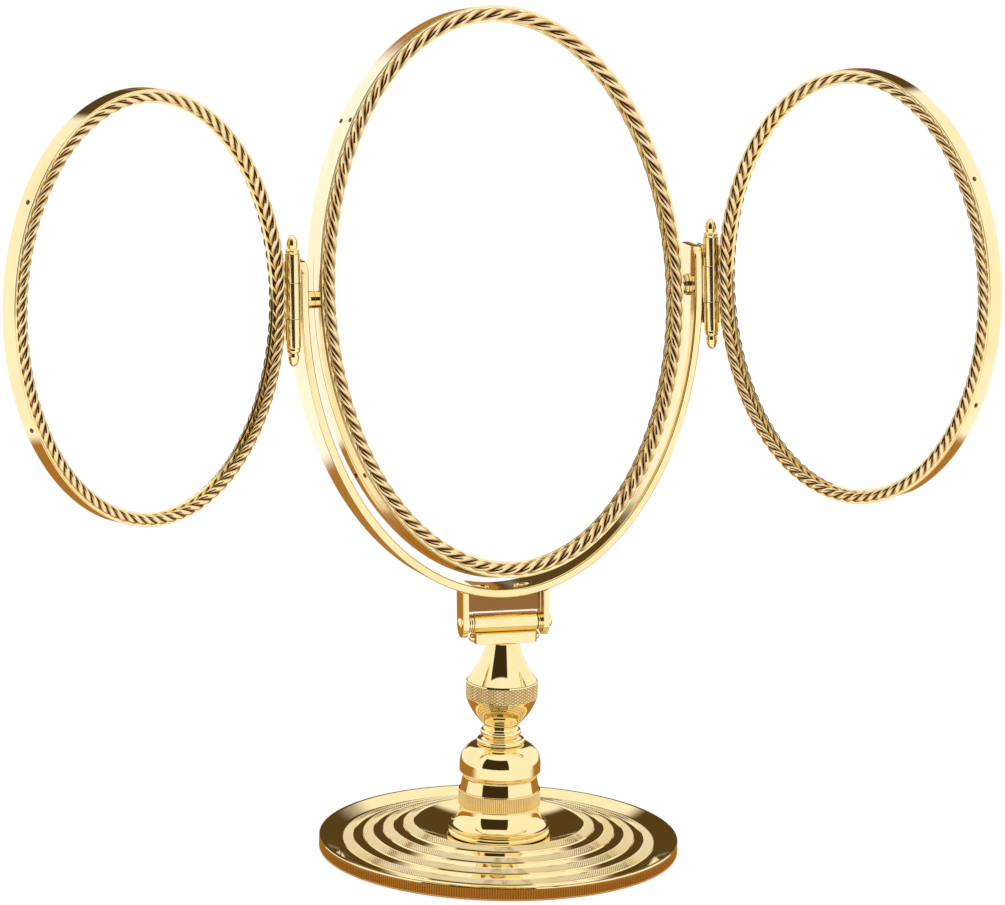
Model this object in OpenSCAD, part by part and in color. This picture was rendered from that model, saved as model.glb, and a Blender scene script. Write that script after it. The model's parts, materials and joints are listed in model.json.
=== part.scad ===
// Four-way dressing-table mirror in polished brass. An oval mirror with two faces turns
// over in a U-shaped yoke, an oval wing is hinged to each arm of the yoke, and the whole
// head tilts and swivels on a turned column.
// Millimetres, +Z up, origin at the middle of the underside, faces look along -Y.

/* [Base plate] */
// Diameter of the base plate
base_d = 180; // [172:1:200]
// Height of the top of the upright edge above the table
edge_top = 7.4; // [6.5:0.1:9]
// Width of the sloping rim, from the edge in to the trough
rim_w = 9; // [7:0.5:10]
// Depth of the trough inside the rim
trough_drop = 3; // [2:0.1:4]
// Radius of the well that the column stands in
well_r = 42; // [38:1:46]
// Height of the plate round the well
well_lip_z = 14.6; // [13:0.1:17]
// Height of the floor of the well
floor_z = 9.2; // [8.6:0.1:10.5]
// Number of chased rings on the plate
ring_count = 4; // [3:1:5]
// Width of one chased ring
ring_w = 6; // [5:0.1:6.2]
// Width of the plain trough outside the chased rings
trough_w = 2.5; // [1.5:0.1:3.5]
// How far a chased ring stands up
ring_h = 0.5; // [0.3:0.1:0.8]
// Thickness of the felt pad
pad_t = 1.5; // [1:0.1:2]
// How far the felt stands out below the plate
pad_proud = 0.5; // [0.3:0.1:0.8]
// Width of the metal margin round the felt
pad_margin = 6; // [4:0.5:10]

/* [Column] */
// Diameter of the tie rod through the column
rod_d = 6; // [5:0.1:6.4]
// Thickness of the nuts on the tie rod
nut_h = 4; // [3:0.1:4.4]
// Width across the flats of those nuts
nut_af = 10; // [9.5:0.1:10.4]
// Thickness of the washer under each nut
nut_washer_t = 1; // [0.6:0.1:1.2]
// Radius of the foot ring
foot_ring_r = 25.6; // [24:0.1:28]
// Height of the foot ring
foot_ring_h = 3; // [2.4:0.1:4]
// Radius of the flared edge of the column's foot
bell_r = 25.8; // [24.5:0.1:28]
// Height of the column's foot
bell_h = 12; // [10:0.5:15]
// Radius of the reeded band
band_r = 20.5; // [20:0.1:22]
// Height of the reeded band
band_h = 8.4; // [6:0.1:11]
// Radius of the column where it is narrowest
waist_r = 18.6; // [17.5:0.1:19.5]
// Height of the plain part of the column, up to its shoulder
plain_h = 12; // [10:0.5:15]
// Radius of the domed shoulder
shoulder_r = 20.3; // [19.8:0.1:22]
// Height of the domed shoulder
shoulder_h = 11.6; // [9.5:0.1:13]
// Radius of the larger neck bead
neck_r = 12.1; // [11.2:0.1:13]
// Height of the beaded neck
neck_h = 10.1; // [9.5:0.1:13]

/* [Lock knob and swivel] */
// Radius of the knurled band of the lock knob
knob_r = 18; // [16.5:0.1:20]
// Height of the bowl below the knurling
bowl_h = 13.6; // [12:0.1:17]
// Height of the knurled band
knurl_h = 9; // [7:0.5:12]
// Height of the swivel cone
cone_h = 20; // [18:0.1:24]
// Radius of the swivel cone at its top
cone_top_r = 8; // [7.8:0.1:9]
// Gap between pieces that turn on each other
turn_gap = 0.15; // [0.1:0.01:0.25]
// Radial play of a shaft in its bore
bore_play = 0.06; // [0.03:0.01:0.09]

/* [Tilt joint] */
// Diameter of the tilt barrel
barrel_d = 9.8; // [9.4:0.1:11]
// Length of the tilt barrel
barrel_l = 33; // [29:0.5:34]
// Thickness of the saddle plate under the barrel
saddle_t = 5.5; // [5:0.1:6.5]
// Width of the saddle plate from front to back
saddle_w = 12; // [10.5:0.1:12.6]
// How deep the barrel lies in the saddle plate
saddle_sink = 0.6; // [0.4:0.1:1.2]
// Diameter of the tilt pin
pin_d = 5; // [4:0.1:5.6]
// Distance between the insides of the bracket's ears
ear_gap = 38.4; // [37.6:0.1:41]
// Thickness of one ear
ear_t = 3; // [2.4:0.1:4]
// Diameter of the washers on the tilt pin
washer_d = 9.2; // [8.4:0.1:9.6]
// Number of washers at the left of the barrel
washers_left = 3; // [2:1:4]
// Number of washers at the right of the barrel
washers_right = 2; // [1:1:3]
// Height of the bracket's web over the barrel
web_over = 0.8; // [0.6:0.1:1.4]

/* [Yoke] */
// Height of the yoke's underside above the tilt barrel
yoke_up = 13; // [11:0.5:18]
// How far the yoke sits behind the tilt barrel
yoke_back = 8; // [7:0.5:10]
// Width of the yoke's band from front to back
yoke_w = 30; // [26:0.5:32]
// Thickness of the yoke's band
yoke_t = 4.2; // [3.4:0.1:5]
// Gap between the mirror's drum and the yoke, at the sides
side_gap = 5.8; // [5:0.1:7.5]
// Gap between the mirror's drum and the yoke, at the bottom
bottom_gap = 5.2; // [4.5:0.1:8]
// Height of the yoke's arms above the pivots
arm_up = 20.5; // [18:0.5:24]
// Rounding of the top of an arm
arm_round = 6; // [3:0.5:9]
// How far the head leans back
head_tilt = 8; // [0:1:15]

/* [Middle mirror] */
// Width of the middle mirror
mirror_w = 186.4; // [180:0.2:196]
// Height of the middle mirror
mirror_h = 285.2; // [276:0.2:292]
// Depth of the middle mirror's drum
drum_depth = 29.6; // [28:0.2:33]
// How far the middle mirror leans back in the yoke
mirror_tilt = 7; // [0:1:12]
// Turns of the rope round the middle mirror
rope_turns = 33; // [30:1:36]
// Depth of the hollow of the magnifying glass
magnify_sag = 2; // [1:0.1:2.4]

/* [Wing mirrors] */
// Width of a wing mirror
wing_w = 152; // [146:0.5:160]
// Height of a wing mirror
wing_h = 216.8; // [206:0.2:228]
// Depth of a wing's drum
wing_depth = 13.2; // [12.6:0.1:15]
// Turns of the rope round a wing mirror
wing_rope_turns = 29; // [26:1:32]
// Fold of the left wing, forward of straight
left_fold = 16; // [0:1:60]
// Fold of the right wing, forward of straight
right_fold = 43; // [0:1:60]
// Height of a wing's middle above its hinge
wing_up = 1.8; // [0:0.1:3]

/* [Rims] */
// Thickness of a drum's wall
wall = 1.6; // [1.2:0.1:2]
// Width of the smooth lip outside the rope
lip_w = 1.7; // [1.5:0.1:2.2]
// How far the lip stands in front of the drum
lip_h = 1.2; // [0.8:0.1:1.8]
// Diameter of the rope round the middle mirror
rope_d = 6.4; // [5.6:0.1:7]
// Diameter of the rope round a wing mirror
wing_rope_d = 5.2; // [4.6:0.1:5.8]
// Thickness of the mirror glass
glass_t = 3; // [2.4:0.1:3.4]
// Diameter of the heads of the drum screws
screw_d = 2.6; // [2:0.1:3.2]

/* [Hinges] */
// Diameter of a hinge knuckle
knuckle_d = 7.7; // [7.2:0.1:8.2]
// Height of an outer knuckle
outer_knuckle_h = 14.4; // [12:0.1:16]
// Height of the middle knuckle
middle_knuckle_h = 18; // [15:0.1:20]
// Diameter of a hinge pin
hinge_pin_d = 3.2; // [2.6:0.1:3.8]
// Thickness of a hinge leaf
leaf_t = 1.6; // [1.2:0.1:2]
// Height of a hinge leaf
leaf_h = 39; // [34:0.5:44]
// Depth of a hinge leaf behind its knuckles
leaf_depth = 12; // [10:0.5:12.6]
// Height of a finial
finial_h = 9.4; // [8:0.1:11]
// Height of the hinges above the pivots
hinge_up = 1.6; // [0:0.1:3]
// Gap between a hinge's knuckles and its wing's drum
wing_gap = 0.35; // [0.3:0.05:1]
// Diameter of the middle mirror's pivots
pivot_d = 5; // [4:0.1:5.6]
// Diameter of the bushes that those pivots turn in
bush_d = 8.7; // [8:0.1:9.6]

/* [Hidden] */

$fn = 96;
brass = "gold";
pale_brass = "khaki";
dark_brass = "goldenrod";
glass_white = "whitesmoke";
felt = "saddlebrown";
steel = "silver";

// Small allowances shared by pieces that sit in each other
seat_gap = 0.1;
cut = 1;

// Base plate, worked out from the outside in
base_r = base_d / 2;
trough_r = base_r - rim_w;
trough_z = edge_top - trough_drop;
rim_flat = 1.5;
edge_break = 0.6;
pad_r = base_r - pad_margin;
ring_slope = 0.3;
ring_pitch = (trough_r - trough_w - ring_w - well_r - ring_slope) / (ring_count - 1);

// Heights up the stand
pocket_top = pad_t + seat_gap + nut_h + nut_washer_t;
pocket_r = 9;
foot_ring_top = floor_z + foot_ring_h;
bell_top = foot_ring_top + bell_h;
band_top = bell_top + band_h;
shoulder_z = band_top + plain_h;
shoulder_top = shoulder_z + shoulder_h;
neck_top = shoulder_top + neck_h;
knob_z = neck_top + turn_gap;
knob_foot_r = neck_r - 3.3;
knurl_z = knob_z + bowl_h;
knob_top = knurl_z + knurl_h;
cone_z = knob_top + turn_gap;
cone_top = cone_z + cone_h;
saddle_top = cone_top + saddle_t;
barrel_z = saddle_top + barrel_d / 2 - saddle_sink;

// Nut pocket in the top of the swivel cone
rod_r = rod_d / 2;
nut_corner_r = nut_af / 2 / cos(30);
nut_pocket_r = nut_corner_r + 0.3;
nut_pocket_z = cone_top - nut_h - nut_washer_t - 3 * turn_gap;
rod_top = cone_top - turn_gap;
bell_edge_h = 2;

// Tilt joint
barrel_r = barrel_d / 2;
pin_r = pin_d / 2;
ear_x = ear_gap / 2;
washers_all = washers_left + washers_right;
washer_room = ear_gap - barrel_l;
washer_pitch = washer_room / washers_all;
washer_t = washer_pitch - turn_gap;
barrel_x0 = -ear_x + washers_left * washer_pitch;
saddle_l = barrel_l - 1;
saddle_x = barrel_x0 + barrel_l / 2;
stay_z = cone_top + saddle_t * 0.42;
stay_r = 1;
stay_nut_r = min(2.1, ear_x + saddle_x - saddle_l / 2 - 2 * turn_gap,
    ear_x - saddle_x - saddle_l / 2 - 2 * turn_gap);
ear_w = yoke_w - 2 * yoke_back;
ear_r = ear_w / 2;
web_front = -0.8;
pin_head_h = 1.2;
pin_head_r = pin_r + 0.6;

// Oval outlines, half width and half height
ma = mirror_w / 2;
mb = mirror_h / 2;
wa = wing_w / 2;
wb = wing_h / 2;

// Yoke
yoke_in_a = ma + side_gap;
yoke_in_b = mb + bottom_gap;
yoke_out_a = yoke_in_a + yoke_t;
yoke_out_b = yoke_in_b + yoke_t;
pivot_up = yoke_out_b + yoke_up;
yoke_front = -yoke_w / 2;
bracket_screw_x = 10;
bracket_screw_up = yoke_in_b * sqrt(1 - pow(bracket_screw_x / yoke_in_a, 2));
bracket_screw_r = 1.6;
bracket_screw_l = 9;
head_sink = 0.8;

// Rims: distances in from the oval outline, and depths behind the drum's front edge
sleeve_out = wall + seat_gap;
sleeve_t = 0.8;
sleeve_in = sleeve_out + sleeve_t;
sleeve_depth = 8;
lip_set = 0.3;
lip_in = max(lip_set + lip_w, sleeve_out + 0.3);
rope_r = rope_d / 2;
wing_rope_r = wing_rope_d / 2;
rope_front = 1.7;
ledge_t = 1;
glass_inset = sleeve_in + 0.2;
backing_inset = glass_inset + 1;
back_t = 1.6;
spacer_inset = 8;
spacer_w = 12;

// Rope of three strands, as the six corners of its section
strands = 3;
valley = 0.64;
rings_per_turn = 6;
arc_steps = 180;

// Hinges, in the yoke's own frame
knuckle_r = knuckle_d / 2;
hinge_x = yoke_out_a + knuckle_r + 0.35;
hinge_y = yoke_front - 0.4;
stack_h = 2 * outer_knuckle_h + middle_knuckle_h;
knuckle_gap = 0.2;
hinge_pin_r = hinge_pin_d / 2;
finial_r = 3.5;
screw_r = screw_d / 2;
screw_y = 5;
centre_screw_z = mb * 0.62;
wing_screw_z = wb * 0.52;
wing_front = -0.3;
wing_off = knuckle_r + wing_gap;
wing_x = wing_off + wa;
leaf_gap = 0.4;

// Pivots of the middle mirror
flange_t = 1.4;
flange_r = 5.5;
friction_t = 0.6;
pivot_r = pivot_d / 2;
bush_l = side_gap - flange_t - friction_t - turn_gap;
bush_neck_r = bush_d / 2 - 1;
bush_reach = wall + 1;
pivot_reach = 3.4;
rivet_h = 0.8;
rivet_r = 3.2;

// A point on a circular arc
function arc_points(c, r, a0, a1, n) =
    [for (i = [0:n]) c + r * [cos(a0 + (a1 - a0) * i / n), sin(a0 + (a1 - a0) * i / n)]];

// A curve from p0 to p2 that leans towards p1
function bend(p0, p1, p2, n) =
    [for (i = [0:n]) let (t = i / n) (1 - t) * (1 - t) * p0 + 2 * t * (1 - t) * p1 + t * t * p2];

// Height of the plain dished top of the base plate at radius r
function dish_z(r) =
    well_lip_z + (trough_z - well_lip_z) * (r - well_r) / (trough_r - well_r);

// Oval outline with half width a and half height b
module oval(a, b) {
    scale([1, b / a]) circle(r = a, $fn = 180);
}

// Oval plate standing upright, from depth y0 back to depth y1, drawn in by inset
module oval_plate(a, b, inset, y0, y1) {
    translate([0, y1, 0]) rotate([90, 0, 0]) linear_extrude(y1 - y0)
        oval(a - inset, b - inset);
}

// Oval hoop between two insets, from depth y0 back to depth y1, in an upper and a lower half
module oval_hoop(a, b, inset_out, inset_in, y0, y1) {
    translate([0, y1, 0]) rotate([90, 0, 0]) linear_extrude(y1 - y0) for (half = [0, 1])
        mirror([0, half]) intersection() {
            difference() {
                oval(a - inset_out, b - inset_out);
                oval(a - inset_in, b - inset_in);
            }
            translate([-a, 0]) square([2 * a, b]);
        }
}

// Hexagon nut on the Z axis
module hex_nut(z, h) {
    translate([0, 0, z]) difference() {
        cylinder(r = nut_corner_r, h = h, $fn = 6);
        translate([0, 0, -cut]) cylinder(r = rod_r, h = h + 2 * cut);
    }
}

// Flat ring on the Z axis
module flat_ring(r_out, r_in, z, h) {
    translate([0, 0, z]) difference() {
        cylinder(r = r_out, h = h);
        translate([0, 0, -cut]) cylinder(r = r_in, h = h + 2 * cut);
    }
}

// Rod along X from x0 to x1
module x_rod(r, x0, x1) {
    translate([x0, 0, 0]) rotate([0, 90, 0]) cylinder(r = r, h = x1 - x0);
}

// Turned piece with a hole for the tie rod
module turned(points, hole_r) {
    rotate_extrude() difference() {
        polygon(points);
        translate([-cut, -cut]) square([hole_r + cut, cone_top + 2 * cut]);
    }
}

// Frames: the head on the tilt barrel, the middle mirror, and a wing (side -1 or 1)
module in_head() {
    translate([0, 0, barrel_z]) rotate([-head_tilt, 0, 0]) children();
}

module in_yoke() {
    in_head() translate([0, yoke_back, pivot_up]) children();
}

module in_centre() {
    in_yoke() rotate([-mirror_tilt, 0, 0]) children();
}

module at_hinge(side) {
    in_yoke() mirror([side < 0 ? 1 : 0, 0, 0])
        translate([hinge_x, hinge_y, hinge_up]) children();
}

module in_wing(side) {
    at_hinge(side) rotate([0, 0, side < 0 ? -left_fold : -right_fold]) children();
}

// Stand

module base_plate() {
    color(brass) difference() {
        rotate_extrude($fn = 180) {
            polygon([
                [0, pad_proud],
                [base_r - edge_break, pad_proud],
                [base_r, pad_proud + edge_break],
                [base_r, edge_top - edge_break],
                [base_r - edge_break, edge_top],
                [base_r - rim_flat, edge_top],
                [trough_r, trough_z],
                [well_r, well_lip_z],
                [foot_ring_r + edge_break, floor_z],
                [0, floor_z]
            ]);
            for (i = [0:ring_count - 1]) {
                r0 = well_r + ring_slope + i * ring_pitch;
                r1 = r0 + ring_w;
                polygon([
                    [r0, dish_z(r0) - ring_h],
                    [r1, dish_z(r1) - ring_h],
                    [r1 - ring_slope, dish_z(r1) + ring_h],
                    [r0 + ring_slope, dish_z(r0) + ring_h]
                ]);
            }
        }
        translate([0, 0, -cut]) cylinder(r = pad_r + seat_gap, h = pad_t + cut, $fn = 180);
        cylinder(r = pocket_r, h = pocket_top);
        cylinder(r = rod_r + seat_gap, h = floor_z + cut);
    }
}

module base_pad() {
    color(felt) cylinder(r = pad_r, h = pad_t, $fn = 180);
}

module base_nut() {
    color(steel) hex_nut(pad_t + seat_gap, nut_h);
}

module base_washer() {
    color(steel) flat_ring(pocket_r - 1, rod_r + seat_gap, pocket_top - nut_washer_t, nut_washer_t);
}

module tie_rod() {
    color(steel) translate([0, 0, pad_t + seat_gap])
        cylinder(r = rod_r, h = rod_top - pad_t - seat_gap);
}

module foot_ring() {
    color(pale_brass) turned(concat(
        [[0, floor_z], [foot_ring_r - foot_ring_h / 2, floor_z]],
        arc_points([foot_ring_r - foot_ring_h / 2, floor_z + foot_ring_h / 2],
            foot_ring_h / 2, -90, 90, 8),
        [[0, foot_ring_top]]), rod_r + seat_gap);
}

// Foot with a grooved underside, a flared edge and a hollow sweep up to the band
module column_foot() {
    edge_z = foot_ring_top + bell_edge_h;
    color(brass) turned(concat(
        [
            [0, foot_ring_top],
            [bell_r - 1.8, foot_ring_top],
            [bell_r - 1.8, foot_ring_top + 0.7],
            [bell_r, edge_z - 0.5]
        ],
        [for (a = [0:10:90]) [
            bell_r - (bell_r - band_r + 0.5) * sin(a),
            edge_z + (bell_top - edge_z) * (1 - cos(a))
        ]],
        [[0, bell_top]]), rod_r + seat_gap);
}

module reeded_band() {
    color(dark_brass) turned([
        [0, bell_top],
        [band_r - 0.4, bell_top],
        [band_r, bell_top + 0.4],
        [band_r, band_top - 0.4],
        [band_r - 0.4, band_top],
        [0, band_top]
    ], rod_r + seat_gap);
}

// Tapered drum, a hollow under the shoulder, and the domed shoulder
module column_body() {
    taper_h = plain_h * 0.5;
    cove_h = plain_h * 0.27;
    dome_base = shoulder_z + 1;
    color(brass) turned(concat(
        [[0, band_top], [band_r - 0.7, band_top], [waist_r, band_top + taper_h]],
        [for (a = [0:15:90]) [
            waist_r + (shoulder_r - waist_r) * (1 - cos(a)),
            band_top + taper_h + cove_h * sin(a)
        ]],
        [for (a = [0:10:90]) [
            neck_r - 0.6 + (shoulder_r - neck_r + 0.6) * cos(a),
            dome_base + (shoulder_top - dome_base) * sin(a)
        ]],
        [[0, shoulder_top]]), rod_r + seat_gap);
}

// Neck with two beads and a groove above each
module neck_collar() {
    bead = neck_h * 0.14;
    small_bead_r = neck_r - 1.8;
    small_bead_z = shoulder_top + neck_h * 0.6;
    color(pale_brass) turned(concat(
        [[0, shoulder_top], [neck_r - bead, shoulder_top]],
        arc_points([neck_r - bead, shoulder_top + bead], bead, -90, 90, 8),
        [[small_bead_r - bead, small_bead_z - 1.5 * bead]],
        arc_points([small_bead_r - bead, small_bead_z], bead, -90, 90, 8),
        [[knob_foot_r - 0.8, neck_top - bead], [knob_foot_r, neck_top], [0, neck_top]]),
        rod_r + seat_gap);
}

module swivel_nut() {
    color(steel) hex_nut(nut_pocket_z + turn_gap + nut_washer_t, nut_h);
}

module swivel_washer() {
    color(steel) flat_ring(nut_corner_r - 0.4, rod_r + seat_gap, nut_pocket_z + turn_gap,
        nut_washer_t);
}

// Lock knob and swivel

// Cup-shaped lock nut with a knurled band round its top
module lock_knob() {
    bulge = 0.25;
    color(brass) turned(concat(
        [[0, knob_z]],
        bend([knob_foot_r, knob_z], [knob_r - 2.8, knob_z + bowl_h * 0.42], [knob_r - bulge, knurl_z], 8),
        [[knob_r, knurl_z + 0.6], [knob_r, knob_top - 0.6], [knob_r - bulge, knob_top], [0, knob_top]]),
        rod_r + bore_play);
}

module swivel_cone() {
    color(brass) difference() {
        turned(concat(
            [[0, cone_z]],
            bend([knob_r - 0.4, cone_z], [cone_top_r + 2.4, cone_z + cone_h * 0.44],
                [cone_top_r, cone_top], 10),
            [[0, cone_top]]), rod_r + bore_play);
        translate([0, 0, nut_pocket_z]) cylinder(r = nut_pocket_r, h = cone_top);
    }
}

// Plate with rounded corners, hollowed along its top for the barrel
module saddle_plate() {
    corner = 3;
    color(pale_brass) difference() {
        translate([saddle_x, 0, cone_top]) linear_extrude(saddle_t) {
            square([saddle_l - 2 * corner, saddle_w], center = true);
            square([saddle_l, saddle_w - 2 * corner], center = true);
            for (x = [-1, 1], y = [-1, 1])
                translate([x * (saddle_l / 2 - corner), y * (saddle_w / 2 - corner)])
                    circle(r = corner);
        }
        translate([0, 0, barrel_z]) x_rod(barrel_r, -ear_gap, ear_gap);
        translate([saddle_x, 0, stay_z]) x_rod(stay_r, -saddle_l, saddle_l);
    }
}

// Domed nuts on the ends of the rod that holds the saddle plate together
module saddle_nuts() {
    color(dark_brass) translate([saddle_x, 0, stay_z]) {
        x_rod(stay_r, -saddle_l / 2 - stay_r, saddle_l / 2 + stay_r);
        for (side = [-1, 1]) translate([side * saddle_l / 2, 0, 0]) rotate([0, side * 90, 0])
            rotate_extrude() polygon(concat(
                [[0, 0], [stay_nut_r, 0]],
                [for (a = [0:15:90]) [stay_nut_r * cos(a), stay_nut_r * (0.25 + 0.75 * sin(a))]]));
    }
}

module tilt_barrel() {
    rim = 0.5;
    color(pale_brass) translate([barrel_x0, 0, barrel_z]) rotate([0, 90, 0])
        rotate_extrude() polygon([
            [pin_r + bore_play, turn_gap / 2],
            [barrel_r - rim, turn_gap / 2],
            [barrel_r, turn_gap / 2 + rim],
            [barrel_r, barrel_l - rim - turn_gap / 2],
            [barrel_r - rim, barrel_l - turn_gap / 2],
            [pin_r + bore_play, barrel_l - turn_gap / 2]
        ]);
}

// Yoke and its bracket

// Solid that fills the outside of the yoke's lower oval, for seating pieces on it
module yoke_outline(y0, y1) {
    translate([0, y1, 0]) rotate([90, 0, 0]) linear_extrude(y1 - y0)
        oval(yoke_out_a, yoke_out_b);
}

// Two ears with round ends, joined by a web under the yoke
module yoke_bracket() {
    top = yoke_up + 2 * yoke_t;
    web_z = barrel_r + web_over;
    fillet = web_z - washer_d / 2 - seat_gap;
    color(brass) in_head() difference() {
        union() {
            for (side = [-1, 1]) mirror([side < 0 ? 1 : 0, 0, 0])
                translate([ear_x, 0, 0]) {
                    translate([0, -ear_r, 0]) cube([ear_t, ear_w, top]);
                    x_rod(ear_r, 0, ear_t);
                }
            translate([-ear_x - cut, web_front, web_z])
                cube([ear_gap + 2 * cut, ear_r - web_front, top - web_z]);
            for (side = [-1, 1]) mirror([side < 0 ? 1 : 0, 0, 0])
                translate([ear_x, ear_r, web_z]) rotate([90, 0, 0])
                    linear_extrude(ear_r - web_front)
                        polygon([[0, 0], [-fillet, 0], [0, -fillet]]);
        }
        translate([0, yoke_back, pivot_up]) yoke_outline(-2 * yoke_w, 2 * yoke_w);
        x_rod(pin_r + seat_gap / 2, -ear_gap, ear_gap);
        bracket_screw_places() bracket_screw_hole();
    }
}

// Where the two screws go down through the band into the bracket
module bracket_screw_places() {
    for (x = [-bracket_screw_x, bracket_screw_x])
        translate([x, (ear_r + web_front) / 2, pivot_up - bracket_screw_up]) children();
}

// Countersunk screws, their heads just below the inside of the band
module bracket_screws() {
    head_h = 1.5;
    color(steel) in_head() bracket_screw_places() translate([0, 0, -head_sink]) {
        translate([0, 0, -bracket_screw_l]) cylinder(r = bracket_screw_r, h = bracket_screw_l);
        translate([0, 0, -head_h])
            cylinder(r1 = bracket_screw_r, r2 = bracket_screw_r + head_h, h = head_h);
    }
}

// Hole and countersink for one of them
module bracket_screw_hole() {
    hole_r = bracket_screw_r + seat_gap / 2;
    sink_r = hole_r + 2;
    translate([0, 0, -head_sink - bracket_screw_l])
        cylinder(r = hole_r, h = bracket_screw_l + yoke_t);
    translate([0, 0, -head_sink - 2]) cylinder(r1 = hole_r, r2 = sink_r, h = 2);
    translate([0, 0, -head_sink]) cylinder(r = sink_r, h = yoke_t);
}

module tilt_pin() {
    color(steel) in_head() {
        x_rod(pin_r, -ear_x - ear_t - seat_gap, ear_x + ear_t + pin_head_h);
        translate([-ear_x - ear_t, 0, 0]) rotate([0, -90, 0])
            cylinder(r1 = pin_head_r, r2 = pin_r * 0.7, h = pin_head_h);
    }
}

module tilt_nut() {
    color(dark_brass) in_head() translate([ear_x + ear_t, 0, 0]) rotate([0, 90, 0])
        rotate_extrude() polygon(concat(
            [[pin_r, 0], [pin_head_r + 0.4, 0], [pin_head_r + 0.4, pin_head_h]],
            [for (a = [15:15:90]) [
                (pin_head_r + 0.4) * cos(a),
                pin_head_h + 1.6 * sin(a)
            ]],
            [[0, pin_head_h + 0.05], [pin_r, pin_head_h + 0.05]]));
}

module tilt_washers() {
    color(pale_brass) in_head() {
        for (i = [0:washers_left - 1])
            translate([-ear_x + i * washer_pitch, 0, 0]) tilt_washer();
        for (i = [0:washers_right - 1])
            translate([ear_x - (i + 1) * washer_pitch + turn_gap, 0, 0]) tilt_washer();
    }
}

module tilt_washer() {
    difference() {
        x_rod(washer_d / 2, 0, washer_t);
        x_rod(pin_r + seat_gap / 2, -cut, washer_t + cut);
    }
}

// U of flat band: the lower half of an oval, with straight arms above the pivots
module yoke_band() {
    color(brass) in_yoke() difference() {
        intersection() {
            translate([0, yoke_w / 2, 0]) rotate([90, 0, 0]) linear_extrude(yoke_w) {
                intersection() {
                    difference() {
                        oval(yoke_out_a, yoke_out_b);
                        oval(yoke_in_a, yoke_in_b);
                    }
                    translate([-2 * yoke_out_a, -2 * yoke_out_b])
                        square([4 * yoke_out_a, 2 * yoke_out_b]);
                }
                for (x = [-yoke_out_a, yoke_in_a])
                    translate([x, 0]) square([yoke_t, arm_up]);
            }
            rotate([90, 0, 90]) linear_extrude(4 * yoke_out_a, center = true) arm_outline();
        }
        x_rod(pivot_r, -yoke_out_a - cut, yoke_out_a + cut);
        translate([0, -yoke_back, -pivot_up]) bracket_screw_places() bracket_screw_hole();
    }
}

// Side view of the band, with rounded corners at the top of the arms
module arm_outline() {
    translate([-yoke_w / 2, -2 * yoke_out_b]) square([yoke_w, 2 * yoke_out_b + arm_up - arm_round]);
    translate([-yoke_w / 2 + arm_round, 0]) square([yoke_w - 2 * arm_round, arm_up]);
    for (side = [-1, 1])
        translate([side * (yoke_w / 2 - arm_round), arm_up - arm_round]) circle(r = arm_round);
}

// Headed pivots, riveted in the arms and reaching into the drum
module pivot_pins() {
    color(dark_brass) in_yoke() for (side = [0, 1]) mirror([side, 0, 0]) {
        x_rod(pivot_r, ma - pivot_reach, yoke_out_a + rivet_h / 2);
        x_rod(flange_r, yoke_in_a - flange_t, yoke_in_a - seat_gap);
        translate([yoke_out_a, 0, 0]) rotate([0, 90, 0])
            cylinder(r1 = rivet_r, r2 = rivet_r - rivet_h, h = rivet_h);
    }
}

// Yoke leaf: two outer knuckles on a plate seated on the arm
module yoke_leaf(side) {
    color(brass) at_hinge(side) difference() {
        union() {
            for (z = [-stack_h / 2, stack_h / 2 - outer_knuckle_h])
                translate([0, 0, z]) cylinder(r = knuckle_r, h = outer_knuckle_h);
            translate([yoke_out_a - hinge_x - leaf_t, 0, -leaf_h / 2])
                cube([2 * leaf_t, leaf_depth, leaf_h]);
        }
        translate([-hinge_x, -hinge_y, -hinge_up]) {
            yoke_outline(-yoke_w, yoke_w);
            translate([0, -yoke_w, 0]) cube([yoke_out_a, 2 * yoke_w, 2 * arm_up]);
        }
        translate([0, 0, -stack_h]) cylinder(r = hinge_pin_r, h = 2 * stack_h);
        translate([0, 0, -middle_knuckle_h / 2])
            cylinder(r = knuckle_r + leaf_gap, h = middle_knuckle_h);
    }
}

module left_yoke_leaf() {
    yoke_leaf(-1);
}

module right_yoke_leaf() {
    yoke_leaf(1);
}

module hinge_pin(side) {
    pin_l = stack_h + finial_h * 0.6;
    color(steel) at_hinge(side) translate([0, 0, -pin_l / 2])
        cylinder(r = hinge_pin_r, h = pin_l);
}

module left_hinge_pin() {
    hinge_pin(-1);
}

module right_hinge_pin() {
    hinge_pin(1);
}

// Acorn with a collar, screwed on each end of the hinge pin
module finials(side) {
    collar_h = finial_h * 0.28;
    acorn_r = finial_r - 0.6;
    color(dark_brass) at_hinge(side) for (end = [-1, 1])
        mirror([0, 0, end < 0 ? 1 : 0]) translate([0, 0, stack_h / 2]) difference() {
            rotate_extrude() polygon(concat(
                [
                    [0, 0],
                    [finial_r - 0.3, 0],
                    [finial_r, collar_h * 0.3],
                    [finial_r, collar_h * 0.7],
                    [finial_r - 1.1, collar_h]
                ],
                [for (a = [0:15:90]) [
                    acorn_r * cos(a),
                    finial_h * 0.45 + finial_h * 0.55 * sin(a)
                ]]));
            translate([0, 0, -cut]) cylinder(r = hinge_pin_r, h = finial_h * 0.3 + cut);
        }
}

module left_finials() {
    finials(-1);
}

module right_finials() {
    finials(1);
}

// Rims shared by the middle mirror and the wings; depths run back from the drum's front edge

// Where a rope of radius r lies, clear of the lip and of the sleeve, and what sits behind it
function rope_inset(r) = seat_gap + max(lip_in + r,
    sleeve_in + sqrt(r * r - pow(rope_front - seat_gap, 2)));
function ledge_z(r) = r - rope_front;
function glass_front(r) = ledge_z(r) + ledge_t;
function glass_back(r) = glass_front(r) + glass_t;

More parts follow.
